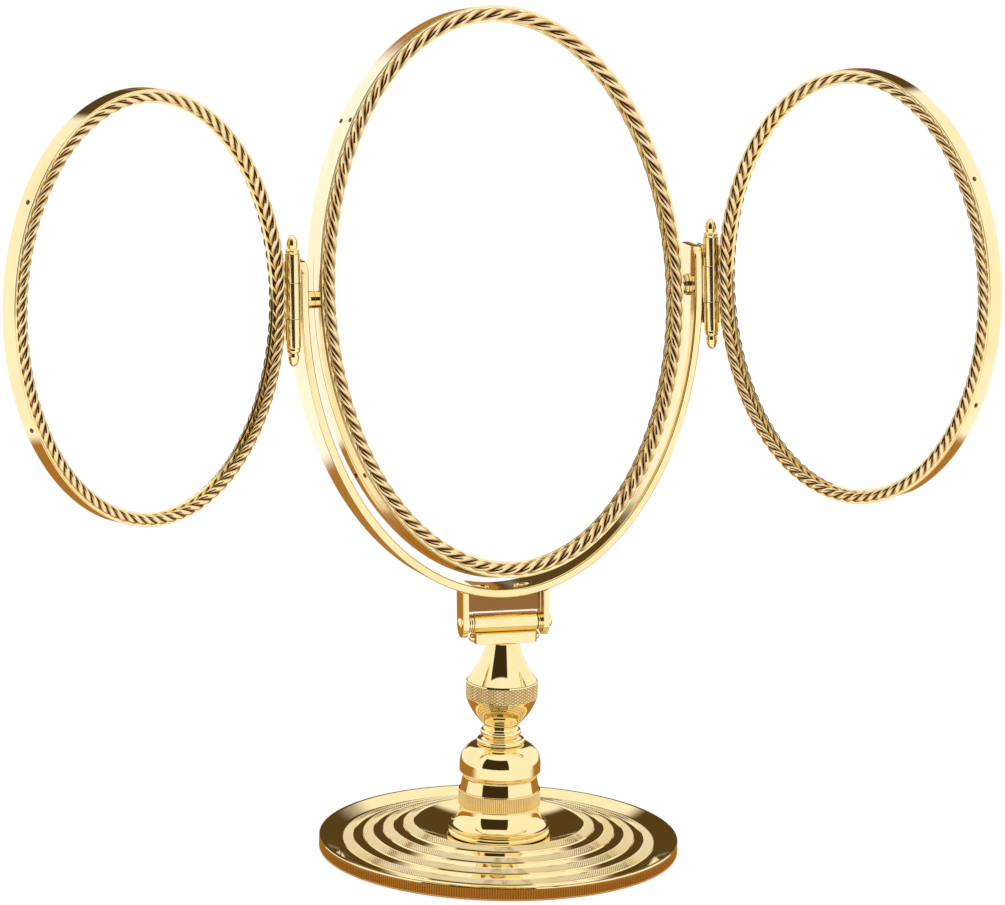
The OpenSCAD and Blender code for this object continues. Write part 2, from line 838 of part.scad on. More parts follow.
// Bezel: a lip in front of the drum, a sleeve inside it and a ledge over the glass
module bezel(a, b, r) {
    oval_hoop(a, b, lip_set, lip_in, -lip_h, 0);
    oval_hoop(a, b, sleeve_out, sleeve_in, -seat_gap, sleeve_depth);
    oval_hoop(a, b, sleeve_in - seat_gap, rope_inset(r) + r - 0.4, ledge_z(r), glass_front(r));
}

// Rope of three strands laid round the oval: rings of six corners that turn evenly with length
module rope(a, b, rope_r, turns) {
    ra = a - rope_inset(rope_r);
    rb = b - rope_inset(rope_r);
    step = 360 / arc_steps;
    lengths = [for (i = 0, s = 0; i <= arc_steps;
        s = s + norm([
            ra * (cos((i + 1) * step) - cos(i * step)),
            rb * (sin((i + 1) * step) - sin(i * step))
        ]), i = i + 1) [s, i * step]];
    total = lengths[arc_steps][0];
    rings = turns * rings_per_turn;
    corners = 2 * strands;
    points = [for (i = [0:rings - 1]) let (
        t = lookup(total * i / rings, lengths),
        out = [rb * cos(t), ra * sin(t)] / norm([rb * cos(t), ra * sin(t)]),
        centre = [ra * cos(t), rb * sin(t)]
    ) for (j = [0:corners - 1]) let (
        turn = 360 * j / corners - 360 * i / rings_per_turn,
        r = rope_r * (j % 2 == 0 ? 1 : valley),
        x = centre[0] + out[0] * r * cos(turn),
        z = centre[1] + out[1] * r * cos(turn)
    ) [x, -rope_front + r * sin(turn), z]];
    faces = [for (i = [0:rings - 1], j = [0:corners - 1]) let (
        k = (i + 1) % rings,
        m = (j + 1) % corners,
        p = i * corners + j,
        q = i * corners + m,
        s = k * corners + j,
        u = k * corners + m
    ) each [[p, s, u], [p, u, q]]];
    polyhedron(points = points, faces = faces);
}

// Puts a fitting square on the outside of an oval, at height z on its right side
module on_rim(a, b, z, y) {
    x = a * sqrt(1 - z * z / (b * b));
    lean = atan2(z * a * a, x * b * b);
    translate([x, y, z]) rotate([0, 90 - lean, 0]) children();
}

// Small screw through a drum's wall into the bezel's sleeve
module rim_screw() {
    head_h = 0.5;
    translate([0, 0, -sleeve_in]) cylinder(r = screw_r * 0.6, h = sleeve_in + head_h / 2, $fn = 24);
    cylinder(r1 = screw_r, r2 = screw_r * 0.8, h = head_h, $fn = 24);
}

// Hole for that screw
module rim_hole() {
    translate([0, 0, -sleeve_in - seat_gap])
        cylinder(r = screw_r * 0.6 + seat_gap / 2, h = sleeve_in + cut, $fn = 24);
}

// Middle mirror

// Places for what is the same at the front and at the back
module centre_faces() {
    for (turn = [0, 180]) rotate([0, 0, turn]) translate([0, -drum_depth / 2, 0]) children();
}

module centre_front() {
    in_centre() translate([0, -drum_depth / 2, 0]) children();
}

module centre_back() {
    in_centre() rotate([0, 0, 180]) translate([0, -drum_depth / 2, 0]) children();
}

// Where the screws of one bezel go through the drum
module centre_rim_places() {
    for (side = [0, 1], z = [-centre_screw_z, centre_screw_z])
        mirror([side, 0, 0]) on_rim(ma, mb, z, screw_y) children();
}

module centre_drum() {
    color(pale_brass) in_centre() difference() {
        oval_hoop(ma, mb, 0, wall, -drum_depth / 2, drum_depth / 2);
        centre_faces() centre_rim_places() rim_hole();
        for (side = [0, 1]) mirror([side, 0, 0]) x_rod(bush_neck_r, ma - bush_reach, ma + cut);
    }
}

module centre_front_bezel() {
    color(pale_brass) centre_front() difference() {
        bezel(ma, mb, rope_r);
        centre_rim_places() rim_hole();
    }
}

module centre_back_bezel() {
    color(pale_brass) centre_back() difference() {
        bezel(ma, mb, rope_r);
        centre_rim_places() rim_hole();
    }
}

module centre_front_rope() {
    color(dark_brass) centre_front() rope(ma, mb, rope_r, rope_turns);
}

module centre_back_rope() {
    color(dark_brass) centre_back() rope(ma, mb, rope_r, rope_turns);
}

module centre_glass() {
    color(glass_white) centre_front()
        oval_plate(ma, mb, glass_inset, glass_front(rope_r), glass_back(rope_r));
}

// Glass with a round hollow in its face, which runs out a little past its edge
module magnifying_glass() {
    reach = mb + glass_inset;
    color(glass_white) centre_back() difference() {
        oval_plate(ma, mb, glass_inset, glass_front(rope_r), glass_back(rope_r));
        translate([0, glass_front(rope_r), 0]) rotate([90, 0, 0]) rotate_extrude() polygon(concat(
            [for (i = [0:10]) [reach * i / 10, magnify_sag * (pow(i / 10, 2) - 1)]],
            [[reach, cut], [0, cut]]));
    }
}

// Hoop of fibreboard that keeps the two glasses apart
module glass_spacer() {
    color(felt) in_centre() oval_hoop(ma, mb, spacer_inset, spacer_inset + spacer_w,
        glass_back(rope_r) - drum_depth / 2, drum_depth / 2 - glass_back(rope_r));
}

// Flanged bushes in the sides of the drum
module pivot_bushes() {
    color(dark_brass) in_centre() for (side = [0, 1]) mirror([side, 0, 0])
        translate([ma, 0, 0]) difference() {
            union() {
                x_rod(bush_neck_r, -bush_reach, bush_l);
                x_rod(bush_d / 2, 0, bush_l);
            }
            x_rod(pivot_r + bore_play, -bush_reach - cut, bush_l + cut);
        }
}

// Spring washers between the bushes and the flanges of the pivots
module friction_washers() {
    color(steel) in_yoke() for (side = [0, 1]) mirror([side, 0, 0])
        translate([yoke_in_a - flange_t, 0, 0]) difference() {
            x_rod(flange_r - 0.7, -friction_t, 0);
            x_rod(pivot_r + seat_gap / 2, -friction_t - cut, cut);
        }
}

module centre_screws() {
    color(dark_brass) in_centre() centre_faces() centre_rim_places() rim_screw();
}

// Wings; side is -1 for the left wing and 1 for the right one

module on_wing(side) {
    in_wing(side) translate([wing_x, wing_front, wing_up]) children();
}

module wing_rim_places() {
    for (z = [-wing_screw_z, wing_screw_z]) on_rim(wa, wb, z, screw_y) children();
}

// Pan of a wing: its wall and its closed back
module wing_drum(side) {
    color(pale_brass) on_wing(side) difference() {
        oval_plate(wa, wb, 0, 0, wing_depth);
        oval_plate(wa, wb, wall, -cut, wing_depth - back_t);
        wing_rim_places() rim_hole();
    }
}

module wing_bezel(side) {
    color(pale_brass) on_wing(side) difference() {
        bezel(wa, wb, wing_rope_r);
        wing_rim_places() rim_hole();
    }
}

module wing_rope(side) {
    color(dark_brass) on_wing(side) rope(wa, wb, wing_rope_r, wing_rope_turns);
}

module wing_glass(side) {
    color(glass_white) on_wing(side)
        oval_plate(wa, wb, glass_inset, glass_front(wing_rope_r), glass_back(wing_rope_r));
}

// Board behind the glass
module wing_backing(side) {
    color(felt) on_wing(side)
        oval_plate(wa, wb, backing_inset, glass_back(wing_rope_r), wing_depth - back_t);
}

// Wing leaf: the middle knuckle on a plate seated on the side of the pan
module wing_leaf(side) {
    color(brass) in_wing(side) difference() {
        union() {
            translate([0, 0, (knuckle_gap - middle_knuckle_h) / 2])
                cylinder(r = knuckle_r, h = middle_knuckle_h - knuckle_gap);
            translate([wing_off - leaf_t, 0, -leaf_h / 2]) cube([3 * leaf_t, leaf_depth, leaf_h]);
        }
        translate([wing_x, 0, wing_up]) oval_plate(wa, wb, 0, -wing_depth, 2 * wing_depth);
        translate([0, 0, -stack_h]) cylinder(r = hinge_pin_r + bore_play, h = 2 * stack_h);
        for (end = [-1, 1])
            translate([0, 0, end * (middle_knuckle_h + outer_knuckle_h) / 2])
                cylinder(r = knuckle_r + leaf_gap, h = outer_knuckle_h + knuckle_gap, center = true);
    }
}

module wing_screws(side) {
    color(dark_brass) on_wing(side) wing_rim_places() rim_screw();
}

module left_drum() { wing_drum(-1); }
module left_bezel() { wing_bezel(-1); }
module left_rope() { wing_rope(-1); }
module left_glass() { wing_glass(-1); }
module left_backing() { wing_backing(-1); }
module left_wing_leaf() { wing_leaf(-1); }
module left_screws() { wing_screws(-1); }

module right_drum() { wing_drum(1); }
module right_bezel() { wing_bezel(1); }
module right_rope() { wing_rope(1); }
module right_glass() { wing_glass(1); }
module right_backing() { wing_backing(1); }
module right_wing_leaf() { wing_leaf(1); }
module right_screws() { wing_screws(1); }

base_plate();
base_pad();
base_nut();
base_washer();
tie_rod();
foot_ring();
column_foot();
reeded_band();
column_body();
neck_collar();
swivel_nut();
swivel_washer();
lock_knob();
swivel_cone();
saddle_plate();
saddle_nuts();
tilt_barrel();
yoke_bracket();
bracket_screws();
tilt_pin();
tilt_nut();
tilt_washers();
yoke_band();
pivot_pins();
left_yoke_leaf();
right_yoke_leaf();
left_hinge_pin();
right_hinge_pin();
left_finials();
right_finials();
centre_drum();
centre_front_bezel();
centre_back_bezel();
centre_front_rope();
centre_back_rope();
centre_glass();
magnifying_glass();
glass_spacer();
pivot_bushes();
friction_washers();
centre_screws();
left_drum();
left_bezel();
left_rope();
left_glass();
left_backing();
left_wing_leaf();
left_screws();
right_drum();
right_bezel();
right_rope();
right_glass();
right_backing();
right_wing_leaf();
right_screws();
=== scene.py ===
# %% [markdown]
# # A four-way dressing-table mirror in polished brass
#
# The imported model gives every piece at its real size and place. This notebook dresses it: it makes
# the twisted ropes, the knurling and the reeding as real meshes, rounds the edges that catch the
# light, gives each surface its finish and sets up a small white studio round it.

# %% Load the frame
import json
from math import radians, pi, sin, cos, sqrt, hypot

import bpy
from mathutils import Matrix, Vector


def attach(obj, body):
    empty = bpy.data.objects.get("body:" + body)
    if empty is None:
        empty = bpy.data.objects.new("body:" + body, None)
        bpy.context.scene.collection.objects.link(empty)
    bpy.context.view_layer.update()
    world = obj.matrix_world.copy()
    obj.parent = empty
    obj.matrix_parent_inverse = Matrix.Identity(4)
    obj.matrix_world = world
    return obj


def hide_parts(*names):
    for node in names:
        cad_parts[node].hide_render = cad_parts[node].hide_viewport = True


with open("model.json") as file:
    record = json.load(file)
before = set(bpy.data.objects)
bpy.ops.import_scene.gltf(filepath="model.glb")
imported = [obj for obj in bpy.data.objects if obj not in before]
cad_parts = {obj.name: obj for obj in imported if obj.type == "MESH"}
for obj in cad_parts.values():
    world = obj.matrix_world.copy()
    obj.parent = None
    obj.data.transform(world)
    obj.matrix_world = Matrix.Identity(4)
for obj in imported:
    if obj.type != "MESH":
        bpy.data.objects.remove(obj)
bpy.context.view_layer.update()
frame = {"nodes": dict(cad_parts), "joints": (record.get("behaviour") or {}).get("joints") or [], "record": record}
nodes = frame["nodes"]
body_of_node = {n: b for b, ns in frame["record"]["behaviour"]["bodies"].items() for n in ns}

# %% [markdown]
# ## Frames of the moving parts
#
# The head leans back on the column, the middle mirror leans back in its yoke, and each wing is
# folded forward on its hinge. A part is easiest to model upright and straight, in its own frame,
# and is then carried to its place by one matrix. The pivots come from the model's own joints, so
# the matrices can't drift from the pieces they have to meet. All lengths are in metres.

# %% Matrices of the head, the middle mirror and the wings
MM = 0.001
HEAD_TILT = radians(8)
MIRROR_TILT = radians(7)
WING_FOLD = {"left": radians(16), "right": radians(43)}

# Half widths and half heights of the ovals, in millimetres
CENTRE_OVAL = (93.2, 142.6)
WING_OVAL = (76, 108.4)

# Depth of the middle drum, and where a wing's oval lies from its hinge
DRUM_DEPTH = 29.6 * MM
WING_HINGE_GAP = 4.2 * MM
WING_UP = 1.8 * MM
WING_FRONT = -0.3 * MM

joint_place = {j["name"]: Vector(j["pos_m"]) for j in frame["joints"]}
pivot = joint_place["centre_swivel"]
lean = Matrix.Rotation(-HEAD_TILT, 4, "X")
in_yoke = Matrix.Translation(pivot) @ lean
in_head = Matrix.Translation(joint_place["head_tilt"]) @ lean
in_centre = in_yoke @ Matrix.Rotation(-MIRROR_TILT, 4, "X")
half_turn = Matrix.Rotation(pi, 4, "Z")


def wing_matrix(side):
    """Frame of a wing's oval: its middle, at the front edge of the pan, as seen from the front."""
    hinge = Matrix.Translation(joint_place[side + "_wing_fold"]) @ lean
    flip = Matrix.Scale(-1, 4, (1, 0, 0)) if side == "left" else Matrix.Identity(4)
    turn = Matrix.Rotation(-WING_FOLD[side], 4, "Z")
    out = Matrix.Translation((WING_HINGE_GAP + WING_OVAL[0] * MM, WING_FRONT, WING_UP))
    return hinge @ flip @ turn @ out


centre_front = in_centre @ Matrix.Translation((0, -DRUM_DEPTH / 2, 0))
centre_back = in_centre @ half_turn @ Matrix.Translation((0, -DRUM_DEPTH / 2, 0))
print("pivot at", [round(c, 4) for c in pivot])

# %% [markdown]
# ## The camera
#
# The photograph was taken from in front and a little to the left, well above the mirror and far
# away with a long lens, so the ovals hardly taper. The camera stands where the pieces' own edges
# lined up with the picture, and a small roll takes up the photograph's lean.

# %% Camera
CAMERA_PLACE = Vector((-1502.3, -5808.9, 1825.6)) * MM
CAMERA_PITCH = radians(-15.10)
CAMERA_AZIMUTH = radians(-14.5)
CAMERA_ROLL = radians(1.33)
CAMERA_LENS = 446.9
CAMERA_SHIFT = -0.0047

camera_data = bpy.data.cameras.new("camera")
camera_data.sensor_width = 36
camera_data.lens = CAMERA_LENS
camera_data.shift_x = CAMERA_SHIFT
camera_data.clip_start = 0.1
camera_data.clip_end = 100
camera = bpy.data.objects.new("camera", camera_data)
bpy.context.scene.collection.objects.link(camera)
camera.matrix_world = (
    Matrix.Translation(CAMERA_PLACE)
    @ Matrix.Rotation(CAMERA_AZIMUTH, 4, "Z")
    @ Matrix.Rotation(radians(90) + CAMERA_PITCH, 4, "X")
    @ Matrix.Rotation(CAMERA_ROLL, 4, "Z")
)
bpy.context.scene.camera = camera
print("camera stands", round(CAMERA_PLACE.length, 2), "m away")

# %% [markdown]
# ## Small helpers for modelling
#
# Every operator works on what is selected, and the imported nodes start selected, so each piece
# begins with a clean selection. A piece's place goes into its mesh and never into its object, so
# that patterns on Object coordinates stay put on the piece wherever it is moved.

# %% Selecting, editing and placing


def deselect():
    if bpy.context.object and bpy.context.object.mode != "OBJECT":
        bpy.ops.object.mode_set(mode="OBJECT")
    bpy.ops.object.select_all(action="DESELECT")


def make_active(piece):
    deselect()
    piece.select_set(True)
    bpy.context.view_layer.objects.active = piece


def in_edit(piece, *steps):
    """Runs mesh operators on all of a piece. A step is a function without arguments."""
    make_active(piece)
    bpy.ops.object.mode_set(mode="EDIT")
    bpy.ops.mesh.select_all(action="SELECT")
    for step in steps:
        step()
    bpy.ops.object.mode_set(mode="OBJECT")


def place(piece, matrix):
    """Puts a piece where a matrix says, in its mesh, and turns its faces outwards again."""
    piece.data.transform(matrix)
    if matrix.determinant() < 0:
        piece.data.flip_normals()
    piece.data.update()


# %% [markdown]
# ### Edges and shading
#
# A real brass edge is never sharp: it always shows a thin bright line. So each piece gets a narrow
# bevel, and then smooth shading that keeps its large faces flat right up to that bevel, because a
# flat mirror-bright face would otherwise seem to bulge.

# %% Rounding and smoothing


def smooth(piece, angle=35):
    """Smooth shading up to an angle, with large faces kept flat beside their rounded edges."""
    make_active(piece)
    bpy.ops.object.shade_smooth_by_angle(angle=radians(angle))
    weights = piece.modifiers.new("face weights", "WEIGHTED_NORMAL")
    weights.keep_sharp = True
    bpy.ops.object.modifier_apply(modifier=weights.name)


def bevel(piece, width, segments=2, angle=40, clamp=True):
    """Rounds the edges that are sharper than an angle."""
    make_active(piece)
    edge = piece.modifiers.new("edge", "BEVEL")
    edge.width = width
    edge.segments = segments
    edge.limit_method = "ANGLE"
    edge.angle_limit = radians(angle)
    edge.harden_normals = False
    edge.use_clamp_overlap = clamp
    bpy.ops.object.modifier_apply(modifier=edge.name)


# %% [markdown]
# ### From mesh to finished piece
#
# A finished piece is given its material and the body it moves with in one place, and the nodes
# that it stands for are put away. Grooves carry an attribute, so that the brass can be darker in
# them: this darkening is painted shade, standing in for the shade that falls into a groove.

# %% Finishing a piece


def new_mesh(name, points, faces):
    mesh = bpy.data.meshes.new(name)
    mesh.from_pydata([tuple(p) for p in points], [], faces)
    mesh.validate()
    piece = bpy.data.objects.new(name, mesh)
    bpy.context.scene.collection.objects.link(piece)
    return piece


def mark_grooves(piece, shares):
    """Stores how deep each vertex lies in a groove, from 0 to 1, for painted shade in the brass there."""
    grooves = piece.data.attributes.new("groove", "FLOAT", "POINT")
    grooves.data.foreach_set("value", shares)


def finish_piece(piece, material, slot, *replaced):
    """Material, body and the nodes that the piece stands for. The slot is not used."""
    piece.data.materials.clear()
    piece.data.materials.append(material)
    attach(piece, body_of_node[replaced[0]])
    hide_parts(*replaced)
    print(piece.name, len(piece.data.polygons), "faces, for", *replaced)
    return piece


def copy_of_node(node, name):
    """A joined-up copy of a node's mesh, to be rounded and kept in the node's place."""
    source = nodes[node]
    piece = bpy.data.objects.new(name, source.data.copy())
    bpy.context.scene.collection.objects.link(piece)
    in_edit(
        piece,
        lambda: bpy.ops.mesh.customdata_custom_splitnormals_clear(),
        lambda: bpy.ops.mesh.remove_doubles(threshold=2e-6),
        lambda: bpy.ops.mesh.dissolve_limited(angle_limit=radians(0.6)),
    )
    return piece


# %% [markdown]
# ## Finishes
#
# Polished brass is a metal with a clear lacquer, and all its life comes from what it mirrors. What
# it needs of its own is small: a trace of polishing marks that widen the reflections here and
# there, a slightly redder tone where the alloy or the lacquer varies, and a hint of waviness. One
# node group makes these three maps from Object coordinates, and each brass uses it with its own
# amounts.

# %% Shader node helpers


def feed(tree, socket, value):
    """Links a socket to another node's output, or gives it a plain value."""
    if isinstance(value, bpy.types.NodeSocket):
        tree.links.new(value, socket)
    else:
        socket.default_value = value


def math_node(tree, operation, *values):
    node = tree.nodes.new("ShaderNodeMath")
    node.operation = operation
    for socket, value in zip(node.inputs, values):
        feed(tree, socket, value)
    return node.outputs[0]


def mix_colours(tree, share, first, second):
    """The first colour where the share is 0, and the second where it is 1."""
    node = tree.nodes.new("ShaderNodeMix")
    node.data_type = "RGBA"
    for name, value in (("Factor", share), ("A", first), ("B", second)):
        feed(tree, node.inputs[name], value)
    return node.outputs["Result"]


def noise(tree, coordinates, scale, detail, roughness):
    node = tree.nodes.new("ShaderNodeTexNoise")
    node.inputs["Scale"].default_value = scale
    node.inputs["Detail"].default_value = detail
    node.inputs["Roughness"].default_value = roughness
    tree.links.new(coordinates, node.inputs["Vector"])
    return node.outputs["Fac"]


# %% [markdown]
# ### Polishing marks
#
# Three noises do it. Wide clouds shift the tone, clouds times fine upright rubs widen the
# reflections, and a slow wave bends them a little. The group also paints shade into grooves, darkening
# the brass there by an amount that each brass sets for itself.

# %% Node group of polishing marks and painted groove shade
# Dark brown of the painted shade in grooves
GROOVE_SHADE = (0.21, 0.075, 0.010, 1)
RUB_STRETCH = (1, 1, 0.12)
DEEP_TONE_FROM, DEEP_TONE_TO = 0.45, 0.8


def group_socket(tree, name, way, kind="NodeSocketFloat", value=None):
    socket = tree.interface.new_socket(name=name, in_out=way, socket_type=kind)
    if value is not None:
        socket.default_value = value
    return socket


def polish_and_shade_group():
    tree = bpy.data.node_groups.new("polish marks and groove shade", "ShaderNodeTree")
    group_socket(tree, "Base Roughness", "INPUT", value=0.05)
    group_socket(tree, "Roughness Spread", "INPUT", value=0.05)
    group_socket(tree, "Wave Height", "INPUT", value=0.3)
    group_socket(tree, "Colour", "INPUT", "NodeSocketColor", (0.9, 0.7, 0.35, 1))
    group_socket(tree, "Deep Colour", "INPUT", "NodeSocketColor", (0.8, 0.5, 0.2, 1))
    group_socket(tree, "Groove Dark", "INPUT", value=0.0)
    group_socket(tree, "Roughness", "OUTPUT")
    group_socket(tree, "Height", "OUTPUT")
    group_socket(tree, "Colour", "OUTPUT", "NodeSocketColor")
    given = tree.nodes.new("NodeGroupInput").outputs
    result = tree.nodes.new("NodeGroupOutput").inputs
    coordinates = tree.nodes.new("ShaderNodeTexCoord").outputs["Object"]
    link = tree.links.new

    stretch = tree.nodes.new("ShaderNodeMapping")
    stretch.inputs["Scale"].default_value = RUB_STRETCH
    link(coordinates, stretch.inputs["Vector"])
    clouds = noise(tree, coordinates, 28.0, 4.0, 0.6)
    rubs = noise(tree, stretch.outputs["Vector"], 900.0, 2.0, 0.5)
    wave = noise(tree, coordinates, 60.0, 1.0, 0.4)

    marks = math_node(tree, "MULTIPLY", clouds, rubs)
    spread, least = given["Roughness Spread"], given["Base Roughness"]
    link(math_node(tree, "MULTIPLY_ADD", marks, spread, least), result["Roughness"])
    link(math_node(tree, "MULTIPLY", wave, given["Wave Height"]), result["Height"])

    tone = tree.nodes.new("ShaderNodeMapRange")
    tone.inputs["From Min"].default_value = DEEP_TONE_FROM
    tone.inputs["From Max"].default_value = DEEP_TONE_TO
    link(clouds, tone.inputs["Value"])
    clean = mix_colours(tree, tone.outputs["Result"], given["Colour"], given["Deep Colour"])

    # Painted shade: where the groove attribute is high, the brass turns towards a dark brown
    grooves = tree.nodes.new("ShaderNodeAttribute")
    grooves.attribute_name = "groove"
    dark = math_node(tree, "MULTIPLY", grooves.outputs["Fac"], given["Groove Dark"])
    link(mix_colours(tree, dark, clean, GROOVE_SHADE), result["Colour"])
    return tree


polish_and_shade_marks = polish_and_shade_group()
print(polish_and_shade_marks.name, len(polish_and_shade_marks.nodes), "nodes")

# %% [markdown]
# ### Brass in its variants
#
# The whole mirror is one alloy, but each piece is worked in its own way. The ropes, the knurling
# and the reeding get painted shade in their grooves, and the chased rings are duller than the polished
# metal between them. The web of the bracket, recessed between its ears, gets painted shade too, and
# the small screws of the drums are dark.

# %% Brass in its variants
BUMP_STRENGTH = 0.35
BUMP_DISTANCE = 0.08 * MM


def brass(name, colour, deep, roughness=0.045, spread=0.06, wave=0.25, coat=0.0, dark=0.0):
    material = bpy.data.materials.new(name)
    material.use_nodes = True
    tree = material.node_tree
    shader = tree.nodes["Principled BSDF"]
    shader.inputs["Metallic"].default_value = 1.0
    shader.inputs["Coat Weight"].default_value = coat
    marks = tree.nodes.new("ShaderNodeGroup")
    marks.node_tree = polish_and_shade_marks
    marks.inputs["Base Roughness"].default_value = roughness
    marks.inputs["Roughness Spread"].default_value = spread
    marks.inputs["Wave Height"].default_value = wave
    marks.inputs["Colour"].default_value = (*colour, 1)
    marks.inputs["Deep Colour"].default_value = (*deep, 1)
    marks.inputs["Groove Dark"].default_value = dark
    bump = tree.nodes.new("ShaderNodeBump")
    bump.inputs["Strength"].default_value = BUMP_STRENGTH
    bump.inputs["Distance"].default_value = BUMP_DISTANCE
    tree.links.new(marks.outputs["Height"], bump.inputs["Height"])
    tree.links.new(marks.outputs["Roughness"], shader.inputs["Roughness"])
    tree.links.new(marks.outputs["Colour"], shader.inputs["Base Color"])
    tree.links.new(bump.outputs["Normal"], shader.inputs["Normal"])
    return material


GOLD = (0.94, 0.80, 0.46)
DEEP_GOLD = (0.90, 0.72, 0.36)
polished_brass = brass("polished brass", GOLD, DEEP_GOLD)
# The dark amounts paint shade into the grooves that a piece has marked
base_brass = brass("base brass", (0.93, 0.78, 0.43), DEEP_GOLD, roughness=0.03, dark=0.6)
chased_brass = brass("chased brass", (0.94, 0.82, 0.50), DEEP_GOLD, roughness=0.08, dark=0.45)
rope_brass = brass("rope brass", (0.92, 0.74, 0.42), (0.86, 0.64, 0.32), roughness=0.08, dark=0.9)
knurled_brass = brass("knurled brass", GOLD, DEEP_GOLD, roughness=0.05, dark=0.85)
reeded_brass = brass("reeded brass", (0.93, 0.77, 0.42), (0.88, 0.68, 0.33), roughness=0.1, dark=0.6)
# Painted shade on the bracket's recessed web, which is marked as a groove
bracket_brass = brass("bracket brass", GOLD, DEEP_GOLD, dark=0.93)
dark_brass = brass("dark brass", (0.16, 0.09, 0.03), (0.10, 0.05, 0.02), roughness=0.4)
print("brasses:", sum(material.name.endswith("brass") for material in bpy.data.materials))

# %% [markdown]
# ### Glass, felt, board and steel
#
# The silvered glass is the plainest material of all: a metal without any roughness, because it only
# has to mirror. Felt, board and steel hardly show, so one colour each is enough. Every node of the
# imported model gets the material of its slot, also those that stay as they are.

# %% Plain materials and the slots


def plain_material(name, colour, metallic, roughness):
    material = bpy.data.materials.new(name)
    material.use_nodes = True
    shader = material.node_tree.nodes["Principled BSDF"]
    shader.inputs["Base Color"].default_value = (*colour, 1)
    shader.inputs["Metallic"].default_value = metallic
    shader.inputs["Roughness"].default_value = roughness
    return material


mirror_glass = plain_material("mirror glass", (0.96, 0.97, 0.97), 1.0, 0.0)
steel = plain_material("steel", (0.6, 0.6, 0.6), 1.0, 0.3)
felt = plain_material("felt", (0.06, 0.045, 0.03), 0.0, 0.95)
board = plain_material("fibreboard", (0.25, 0.16, 0.09), 0.0, 0.8)

slot_material = {
    "polished_brass": polished_brass,
    "base_brass": base_brass,
    "rope_brass": rope_brass,
    "knurled_brass": knurled_brass,
    "reeded_brass": reeded_brass,
    "mirror_glass": mirror_glass,
    "magnifying_glass": mirror_glass,
    "felt": felt,
    "board": board,
    "steel": steel,
}
slot_of_node = {s["node"]: s["material_slot"] for s in frame["record"]["subparts"]}
for name, cad_node in nodes.items():
    cad_node.data.materials.clear()
    cad_node.data.materials.append(slot_material[slot_of_node[name]])
print("slots:", *slot_material)

# %% [markdown]
# ## Turned pieces
#
# The stand is turned on a lathe, so each piece is one closed outline carried round the Z axis. A
# plain outline is spun, and its sharp corners are rounded a little afterwards.

# %% Lathe
ROD_BORE = 3.1

# Heights at which the turned pieces meet, in millimetres
PLATE_TOP = 9.2
RING_TOP = 12.2
FOOT_TOP = 24.2
BAND_TOP = 32.6
BODY_TOP = 56.2
NECK_TOP = 66.3


def arc(centre, radius, start, end, steps):
    """Points on an arc of a profile, between two angles in degrees."""
    angles = [radians(start + (end - start) * i / steps) for i in range(steps + 1)]
    return [(centre[0] + radius * cos(a), centre[1] + radius * sin(a)) for a in angles]


def bend(p, q, r, steps):
    """Points on the curve from p to r that is pulled towards q."""
    shares = [i / steps for i in range(steps + 1)]
    return [
        tuple(p[k] * (1 - s) ** 2 + 2 * q[k] * s * (1 - s) + r[k] * s * s for k in (0, 1))
        for s in shares
    ]


def spun(name, profile, steps=192, edge=0.15):
    """A closed profile of (radius, height) pairs, in millimetres, spun round the Z axis."""
    mesh = bpy.data.meshes.new(name)
    count = len(profile)
    mesh.from_pydata(
        [(r * MM, 0, z * MM) for r, z in profile],
        [(i, (i + 1) % count) for i in range(count)],
        [],
    )
    piece = bpy.data.objects.new(name, mesh)
    bpy.context.scene.collection.objects.link(piece)
    in_edit(
        piece,
        lambda: bpy.ops.mesh.spin(steps=steps, angle=2 * pi, center=(0, 0, 0), axis=(0, 0, 1)),
        lambda: bpy.ops.mesh.select_all(action="SELECT"),
        lambda: bpy.ops.mesh.remove_doubles(threshold=1e-6),
        lambda: bpy.ops.mesh.normals_make_consistent(inside=False),
    )
    bevel(piece, edge * MM, angle=25)
    smooth(piece, 20)
    return piece


# %% [markdown]
# ### Cut surfaces
#
# Where a surface is cut, as by a knurling wheel, spinning can't make it. The outline is carried
# round in columns instead, and a small function says how far each of its points is pressed in. The
# quads are split along alternate diagonals, so that a grid of pressed points turns into diamonds.

# %% Outline carried round in columns


def cut_round(name, profile, columns, relief):
    """A closed profile carried round in columns. relief(row, column) gives the way in and down."""
    rows = len(profile)
    points, depths = [], []
    for column in range(columns):
        turn = 2 * pi * column / columns
        for row, (r, z) in enumerate(profile):
            inward, down = relief(row, column)
            reach = (r - inward) * MM
            points.append((reach * cos(turn), reach * sin(turn), (z - down) * MM))
            depths.append(inward + down)
    faces = []
    for column in range(columns):
        after = (column + 1) % columns
        for row in range(rows):
            beyond = (row + 1) % rows
            a, b = column * rows + row, after * rows + row
            c, d = after * rows + beyond, column * rows + beyond
            if (row + column) % 2:
                faces += [(a, b, c), (a, c, d)]
            else:
                faces += [(a, b, d), (b, c, d)]
    piece = new_mesh(name, points, faces)
    # Depths of the cuts are stored for painted shade in them
    deepest = max(depths)
    mark_grooves(piece, [depth / deepest for depth in depths])
    in_edit(piece, lambda: bpy.ops.mesh.normals_make_consistent(inside=False))
    return piece


# %% [markdown]
# ### Base plate
#
# The plate is a shallow dish upside down: from a lip round the column it falls to a trough inside
# the rim. Its upright edge is cut with fine upright reeds, so it is carried round in columns, of
# which every second one is pressed in along the edge. Four raised rings lie on its slope.

# %% Base plate
BASE_R = 90
BASE_EDGE_TOP = 7.4
REEDS = 440
REED_DEPTH = 0.26
LIP_R, LIP_HEIGHT = 42, 14.5
TROUGH_R, TROUGH_HEIGHT = 81, 4.5
FLOOR_INSIDE, FLOOR_TOP = 6.6, 1.5
PAD_ROOM_R = 84.1


